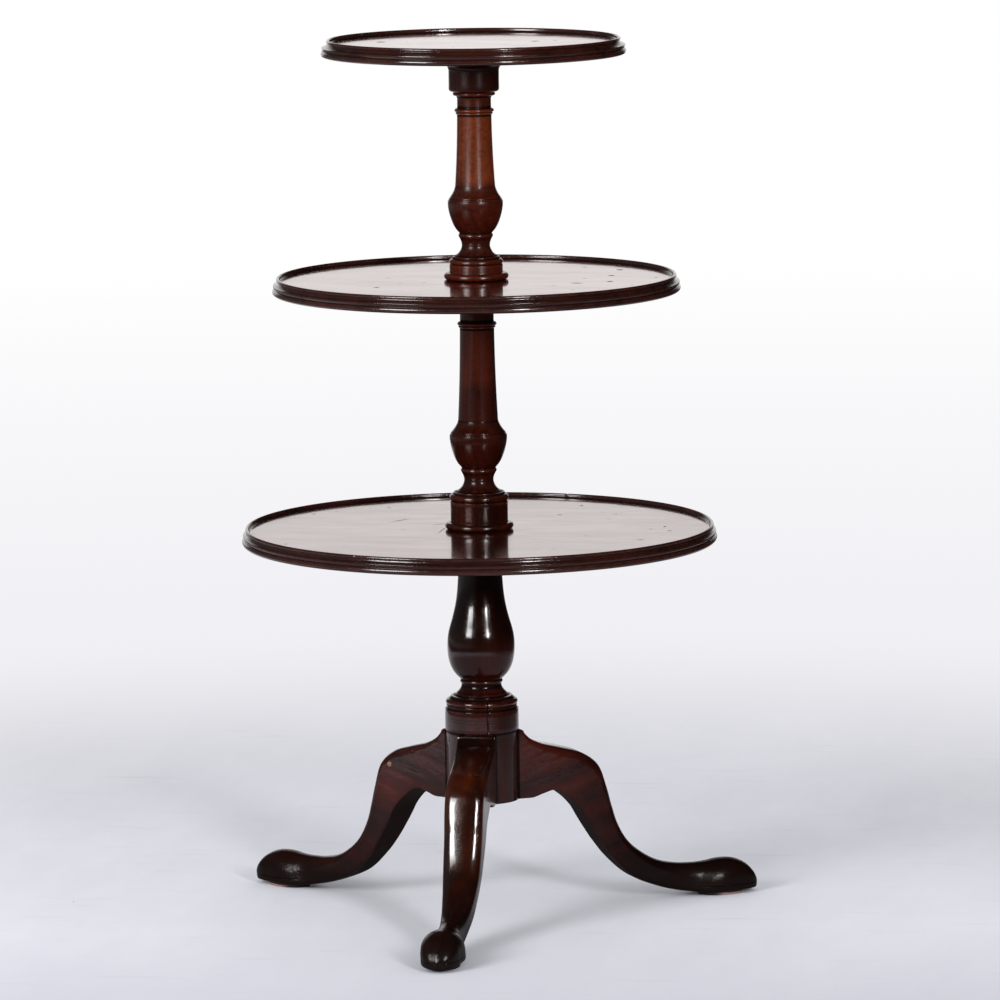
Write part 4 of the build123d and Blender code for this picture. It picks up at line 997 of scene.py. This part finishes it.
# Middle column. One billet turned to stand on the base's spindle: a ring and drum at its foot, a
# bead, a vase with a ringed waist, and a tapering shaft under an astragal and capital.
middle_members = {"ring": .0295, "drum": .0955, "bead": .0319, "fillet": .0097, "vase": .2603, "step": .0052,
                  "conge": .0486, "under bead": .0104, "astragal": .0153, "neck": .0451, "cove": .0118,
                  "capital": .0167}
waist = [(0, .85), (.042, .665), (.078, .6), (.147, .522), (.21, .5), (.287, .538), (.33, .585)]
vase_belly = [(.415, .585), (.46, .68), (.53, .775), (.6, .84), (.67, .89), (.74, .933), (.81, .966), (.88, .988),
              (.95, 1), (.985, .99)]
# How far in from the drum the bead's edge and the fillet are, and how far in each step above the vase is
bead_inset, fillet_inset, step_inset = 1.8, 4, 1.2
# The radii that both columns share, from the foot of the shaft to the capital
shaft_foot, shaft_head, under_bead_radius, astragal_radius, neck_radius, cove_head, capital_radius = (
    25.6, 22.0, 23.8, 25.2, 21.6, 23.4, 27.0)


def column(name, foot, top, members, ring_radius, drum_radius, vase_radius, above, finish):
    """A column length's profile from its foot ring to its capital, with the rows that stand on it, turned."""
    tall = {member: share * (top - foot) for member, share in members.items()}
    drum_foot = foot + tall["ring"]
    bead_foot = drum_foot + tall["drum"]
    fillet_foot = bead_foot + tall["bead"]
    vase_foot = fillet_foot + tall["fillet"]
    shoulder = vase_foot + tall["vase"]
    conge_foot = shoulder + 2 * tall["step"]
    capital_foot = top - tall["capital"]
    neck_top = capital_foot - tall["cove"]
    neck_foot = neck_top - tall["neck"]
    astragal_foot = neck_foot - tall["astragal"]
    shaft_top = astragal_foot - tall["under bead"]
    ring_swell, shoulder_radius = tall["ring"] * 0.42, vase_radius * 0.99
    bead, astragal, capital_round = tall["under bead"] / 2, tall["astragal"] / 2, tall["capital"] / 2
    rows = [
        (0, foot, None), (ring_radius - ring_swell, foot, 0), (ring_radius - ring_swell, drum_foot, ring_swell),
        (drum_radius, drum_foot, 0), (drum_radius, bead_foot, 0), (drum_radius - bead_inset, bead_foot, 0),
        (drum_radius - bead_inset, fillet_foot, tall["bead"] * 0.3), (drum_radius - fillet_inset, fillet_foot, 0),
        (drum_radius - fillet_inset, vase_foot, 0)]
    rows += curve(waist, vase_radius, vase_foot, tall["vase"])
    rows += [(.6 * vase_radius, vase_foot + .34 * tall["vase"], 0),
             (.6 * vase_radius, vase_foot + .4 * tall["vase"], .022 * vase_radius)]
    rows += curve(vase_belly, vase_radius, vase_foot, tall["vase"])
    for step in (1, 2):
        rows += [(shoulder_radius - step * step_inset, shoulder + (step - 1) * tall["step"], 0),
                 (shoulder_radius - step * step_inset, shoulder + step * tall["step"], 0)]
    rows += [
        (shaft_foot, conge_foot + tall["conge"], -0.9), (shaft_head, shaft_top, -0.7),
        (under_bead_radius - bead, shaft_top, 0), (under_bead_radius - bead, astragal_foot, bead),
        (astragal_radius - astragal, astragal_foot, 0), (astragal_radius - astragal, neck_foot, astragal),
        (neck_radius, neck_foot, 0), (neck_radius, neck_top, 0), (cove_head, capital_foot, -0.4),
        (capital_radius - capital_round, capital_foot, 0), (capital_radius - capital_round, top, capital_round)]
    piece = turn(name + "_turned", rows + above, finish)
    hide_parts(name)
    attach(piece, "base")


middle_top = 792.195
upper_foot, upper_top = 826.1, 1065.7
spigot_radius, spigot_length = 12, 22
middle_wood = mahogany("polished_mahogany_middle_column", (0, 0, 0), "#5a2619", "#1a0908", 13, tone=0.45,
                       mottle=0.5, coat_roughness=0.15, deeper=[(700, 682, 0.5)])
column("middle_column", spindle_head, middle_top, middle_members, 43.9, 36.8, 37.0, [
    (spindle_radius, middle_top, 0), (spindle_radius, upper_foot, 0), (spigot_radius, upper_foot, 0),
    (spigot_radius, upper_foot + spigot_length, 0), (0, upper_foot + spigot_length, 0)], middle_wood)
collar("middle", 30.0, 17.0, 809.495, tray_bore, collar_wood, "middle_tier")
tray("middle", 261.0, middle_rim, 6.5, tray_bore, tray_finish("middle", 17, 8, 0.16, middle_marks), "middle_tier")


# Upper column. Turned like the middle one but shorter, from a paler, mottled piece of the wood
# whose stain has worn to orange-brown on the shaft. Its pin carries the top tray's collar.
upper_members = {"ring": .0355, "drum": .0451, "bead": .0288, "fillet": .0117, "vase": .3047, "step": .0063,
                 "conge": .0584, "under bead": .0125, "astragal": .0184, "neck": .0543, "cove": .0142,
                 "capital": .02}
pin_radius, pin_head = 15, 1109
upper_wood = mahogany("mottled_mahogany_upper_column", (0, 0, 0), "#562416", "#1c0a07", 19, tone=0.56, mottle=0.8,
                      pale="#8c4a28", pale_from=944 * mm, pale_to=1048 * mm, coat_roughness=0.22, stripes=0.4)
column("upper_column", upper_foot, upper_top, upper_members, 41.3, 34.0, 35.4, [
    (pin_radius, upper_top, 0), (pin_radius, pin_head, 0), (0, pin_head, 0)], upper_wood)
collar("top", 32.2, 46.5, 1112.5, top_bore, collar_wood, "top_tier")
tray("top", 194.5, top_rim, 8.5, 0, tray_finish("top", 23, -6, 0.14, top_marks), "top_tier")


# Floor, lights and camera. A pale floor that whitens with distance, one broad and one narrow
# soft light at the left and right of the camera, and a dim room behind the camera.
floor_radius, floor_sides = 9.0, 96
away_from_camera, to_right = (-0.155, 0.988, 0.0), (0.988, 0.155, 0.0)
floor_mesh = bpy.data.meshes.new("floor")
floor_mesh.from_pydata([
    (floor_radius * cos(2 * pi * side / floor_sides), floor_radius * sin(2 * pi * side / floor_sides), 0)
    for side in range(floor_sides)], [], [tuple(range(floor_sides))])
floor = bpy.data.objects.new("floor", floor_mesh)
bpy.context.scene.collection.objects.link(floor)
paint = bpy.data.materials.new("painted_studio_floor")
paint.use_nodes = True
tree = paint.node_tree
shader = tree.nodes["Principled BSDF"]
here = add(tree, "ShaderNodeTexCoord").outputs["Object"]
rays = add(tree, "ShaderNodeLightPath").outputs
reach = add(tree, "ShaderNodeVectorMath", (here,), operation="LENGTH").outputs["Value"]
behind, aside = (add(tree, "ShaderNodeVectorMath", (here, way), operation="DOT_PRODUCT").outputs["Value"]
                 for way in (away_from_camera, to_right))
# Off-white paint with faint scuffs
stretched = add(tree, "ShaderNodeMapping", {"Vector": here, "Scale": (1.0, 0.35, 1.0)}).outputs[0]
scuffs = add(tree, "ShaderNodeTexNoise", {
    "Vector": stretched, "Scale": 6.0, "Detail": 6.0, "Roughness": 0.7}).outputs[0]
worn = add(tree, "ShaderNodeMapRange", (scuffs, 0.3, 0.75)).outputs[0]
# Long thin rub marks that run across, and a few specks of grit
rubbed_along = add(tree, "ShaderNodeMapping", {"Vector": here, "Scale": (0.13, 1.0, 1.0),
                                               "Rotation": (0, 0, radians(-4))}).outputs[0]
rubs = add(tree, "ShaderNodeTexNoise", {"Vector": rubbed_along, "Scale": 34.0, "Detail": 6.0}).outputs[0]
rub = add(tree, "ShaderNodeMapRange", (rubs, 0.62, 0.78, 0.0, 0.3)).outputs[0]
cells = add(tree, "ShaderNodeTexVoronoi", {"Vector": here, "Scale": 11.0}).outputs
chosen = add(tree, "ShaderNodeSeparateColor", (cells["Color"],)).outputs[0]
chosen = add(tree, "ShaderNodeMath", (chosen, 0.7), operation="GREATER_THAN").outputs[0]
grit = add(tree, "ShaderNodeMapRange", (cells["Distance"], 0.022, 0.01)).outputs[0]
grit = add(tree, "ShaderNodeMath", (grit, chosen), operation="MULTIPLY").outputs[0]
# The floor is a little greyer towards the camera
front = add(tree, "ShaderNodeMapRange", (behind, -0.1, -0.65, 0.0, 0.7)).outputs[0]
tone = linear("#e3e4ed")
for share, laid in ((worn, "#ecedf5"), (rub, "#bfc0cb"), (grit, "#77757c"), (front, "#bcbdc6")):
    tone = add(tree, "ShaderNodeMix", {0: share, 6: tone, 7: linear(laid)}, data_type="RGBA").outputs[2]
tree.links.new(tone, shader.inputs["Base Color"])
shader.inputs["Roughness"].default_value = 0.75
shader.inputs["Specular IOR Level"].default_value = 0.2
# The floor glows as painted light: for the camera a sweep that takes over with distance, bluish white near,
# pure white far; for reflections and bounce light only behind the object, faintly elsewhere and more far to
# the left, because the room in front is dim.
far = add(tree, "ShaderNodeMapRange", (reach, 1.5, 8.0)).outputs[0]
paper = add(tree, "ShaderNodeMix", {0: far, 6: linear("#eeedf2"), 7: linear("#ffffff")},
            data_type="RGBA").outputs[2]
sheet = add(tree, "ShaderNodeMapRange", (behind, 0.2, 1.2)).outputs[0]
off_line = add(tree, "ShaderNodeMath", (aside, 0.25), operation="ADD").outputs[0]
off_line = add(tree, "ShaderNodeMath", (off_line,), operation="ABSOLUTE").outputs[0]
on_sheet = add(tree, "ShaderNodeMapRange", (off_line, 1.4, 0.8)).outputs[0]
sheet = add(tree, "ShaderNodeMath", (sheet, on_sheet), operation="MULTIPLY").outputs[0]
room = add(tree, "ShaderNodeMapRange", (aside, -3.4, -2.0, 0.4, 0.04)).outputs[0]
away = add(tree, "ShaderNodeMapRange", (reach, 1.8, 4.0, 1.0, 0.7)).outputs[0]
room = add(tree, "ShaderNodeMath", (room, away), operation="MULTIPLY").outputs[0]
lit = add(tree, "ShaderNodeMath", (sheet, room), operation="MAXIMUM").outputs[0]
direct = add(tree, "ShaderNodeMath", (rays["Is Camera Ray"], lit), operation="MAXIMUM").outputs[0]
sweep_and_painted_light = add(tree, "ShaderNodeEmission", {"Color": paper, "Strength": direct}).outputs[0]
# The camera sees the painted floor a little further out than light and reflections do. For reflections and bounce
# light the lit floor is partly swapped for the glow, which is dark in front: painted shade within about a metre of
# the object and on the right.
edge = add(tree, "ShaderNodeMapRange", (reach, 0.75, 2.3), interpolation_type="SMOOTHSTEP").outputs[0]
near_floor_painted_shade = add(tree, "ShaderNodeMapRange", (reach, 1.0, 1.25, 0.62, 0.0)).outputs[0]
right_floor_painted_shade = add(tree, "ShaderNodeMapRange", (aside, 0.6, 1.2, 0.0, 0.75)).outputs[0]
near_floor_painted_shade = add(tree, "ShaderNodeMath", (near_floor_painted_shade, right_floor_painted_shade), operation="MAXIMUM").outputs[0]
near_edge = add(tree, "ShaderNodeMapRange", (reach, 1.53, 1.68, near_floor_painted_shade),
                interpolation_type="SMOOTHSTEP").outputs[0]
edge = add(tree, "ShaderNodeMix", {0: rays["Is Camera Ray"], 2: near_edge, 3: edge}).outputs[0]
blended = add(tree, "ShaderNodeMixShader", (edge, shader.outputs[0], sweep_and_painted_light)).outputs[0]
tree.links.new(blended, tree.nodes["Material Output"].inputs["Surface"])
floor_mesh.materials.append(paint)

world = bpy.data.worlds.new("studio")
world.use_nodes = True
bpy.context.scene.world = world
tree = world.node_tree
tree.nodes.clear()
around = add(tree, "ShaderNodeTexCoord").outputs["Generated"]
rays = add(tree, "ShaderNodeLightPath").outputs
# The sweep is a wide sheet behind the object, and the rest of the room is dim
height = add(tree, "ShaderNodeSeparateXYZ", (around,)).outputs["Z"]
towards, to_left = (add(tree, "ShaderNodeVectorMath", (around, way), operation="DOT_PRODUCT").outputs["Value"]
                    for way in ((-0.207, 0.978, 0.0), (-0.988, -0.155, 0.0)))
sweep = add(tree, "ShaderNodeMapRange", (towards, 0.9, 0.965)).outputs[0]
dim = add(tree, "ShaderNodeMapRange", (height, 0.6, 0.26)).outputs[0]
seen = add(tree, "ShaderNodeMath", (sweep, dim), operation="MULTIPLY").outputs[0]
walls = add(tree, "ShaderNodeMapRange", (to_left, 0.2, 1.0, 0.01, 0.12)).outputs[0]
shown = add(tree, "ShaderNodeMath", (seen, walls), operation="MAXIMUM").outputs[0]
camera_sees = add(tree, "ShaderNodeMath", (shown, rays["Is Camera Ray"]), operation="MAXIMUM").outputs[0]
strength = add(tree, "ShaderNodeMix", {0: rays["Is Diffuse Ray"], 2: camera_sees, 3: 0.6}).outputs[0]
back = add(tree, "ShaderNodeBackground", {"Color": linear("#ffffff"), "Strength": strength}).outputs[0]
add(tree, "ShaderNodeOutputWorld", {"Surface": back})

# Soft boxes round the camera's side: azimuth from the camera, height, distance, width, tallness, power
camera_azimuth = -81.1
aim = Vector((0, 0, 0.45))
for name, aside, height, distance, width, tall, power in (
        ("broad_soft_light", -44, 23.9, 5.0, 1.7, 2.3, 172), ("narrow_soft_light", 25, 20.3, 5.0, 0.62, 1.5, 117)):
    light = bpy.data.lights.new(name, "AREA")
    light.shape = "RECTANGLE"
    light.size, light.size_y, light.energy = width, tall, power
    # Each box is brighter towards its foot
    light.use_nodes = True
    place = add(light.node_tree, "ShaderNodeNewGeometry").outputs["Parametric"]
    up = add(light.node_tree, "ShaderNodeSeparateXYZ", (place,)).outputs["Y"]
    fading = add(light.node_tree, "ShaderNodeMapRange", (up, 0.0, 1.0, 1.85, 0.15)).outputs[0]
    light.node_tree.links.new(fading, light.node_tree.nodes["Emission"].inputs["Strength"])
    lamp = bpy.data.objects.new(name, light)
    turn_to, lift = radians(camera_azimuth + aside), radians(height)
    towards_light = Vector((cos(turn_to) * cos(lift), sin(turn_to) * cos(lift), sin(lift)))
    lamp.location = aim + towards_light * distance
    lamp.rotation_euler = towards_light.to_track_quat("Z", "Y").to_euler()
    lamp.visible_camera = False
    bpy.context.scene.collection.objects.link(lamp)

camera_place = (1.3535, -8.4701, 1.7456)
camera_turn, camera_tilt, camera_roll = radians(8.9), radians(82.0), -0.0124
lens = bpy.data.cameras.new("camera")
lens.lens = 242.8
lens.sensor_width = 36.0
lens.clip_end = 100.0
camera = bpy.data.objects.new("camera", lens)
camera.matrix_world = (Matrix.Translation(camera_place) @ Matrix.Rotation(camera_turn, 4, "Z")
                       @ Matrix.Rotation(camera_tilt, 4, "X") @ Matrix.Rotation(camera_roll, 4, "Z"))
bpy.context.scene.collection.objects.link(camera)
bpy.context.scene.camera = camera
bpy.context.scene.view_settings.view_transform = "Standard"
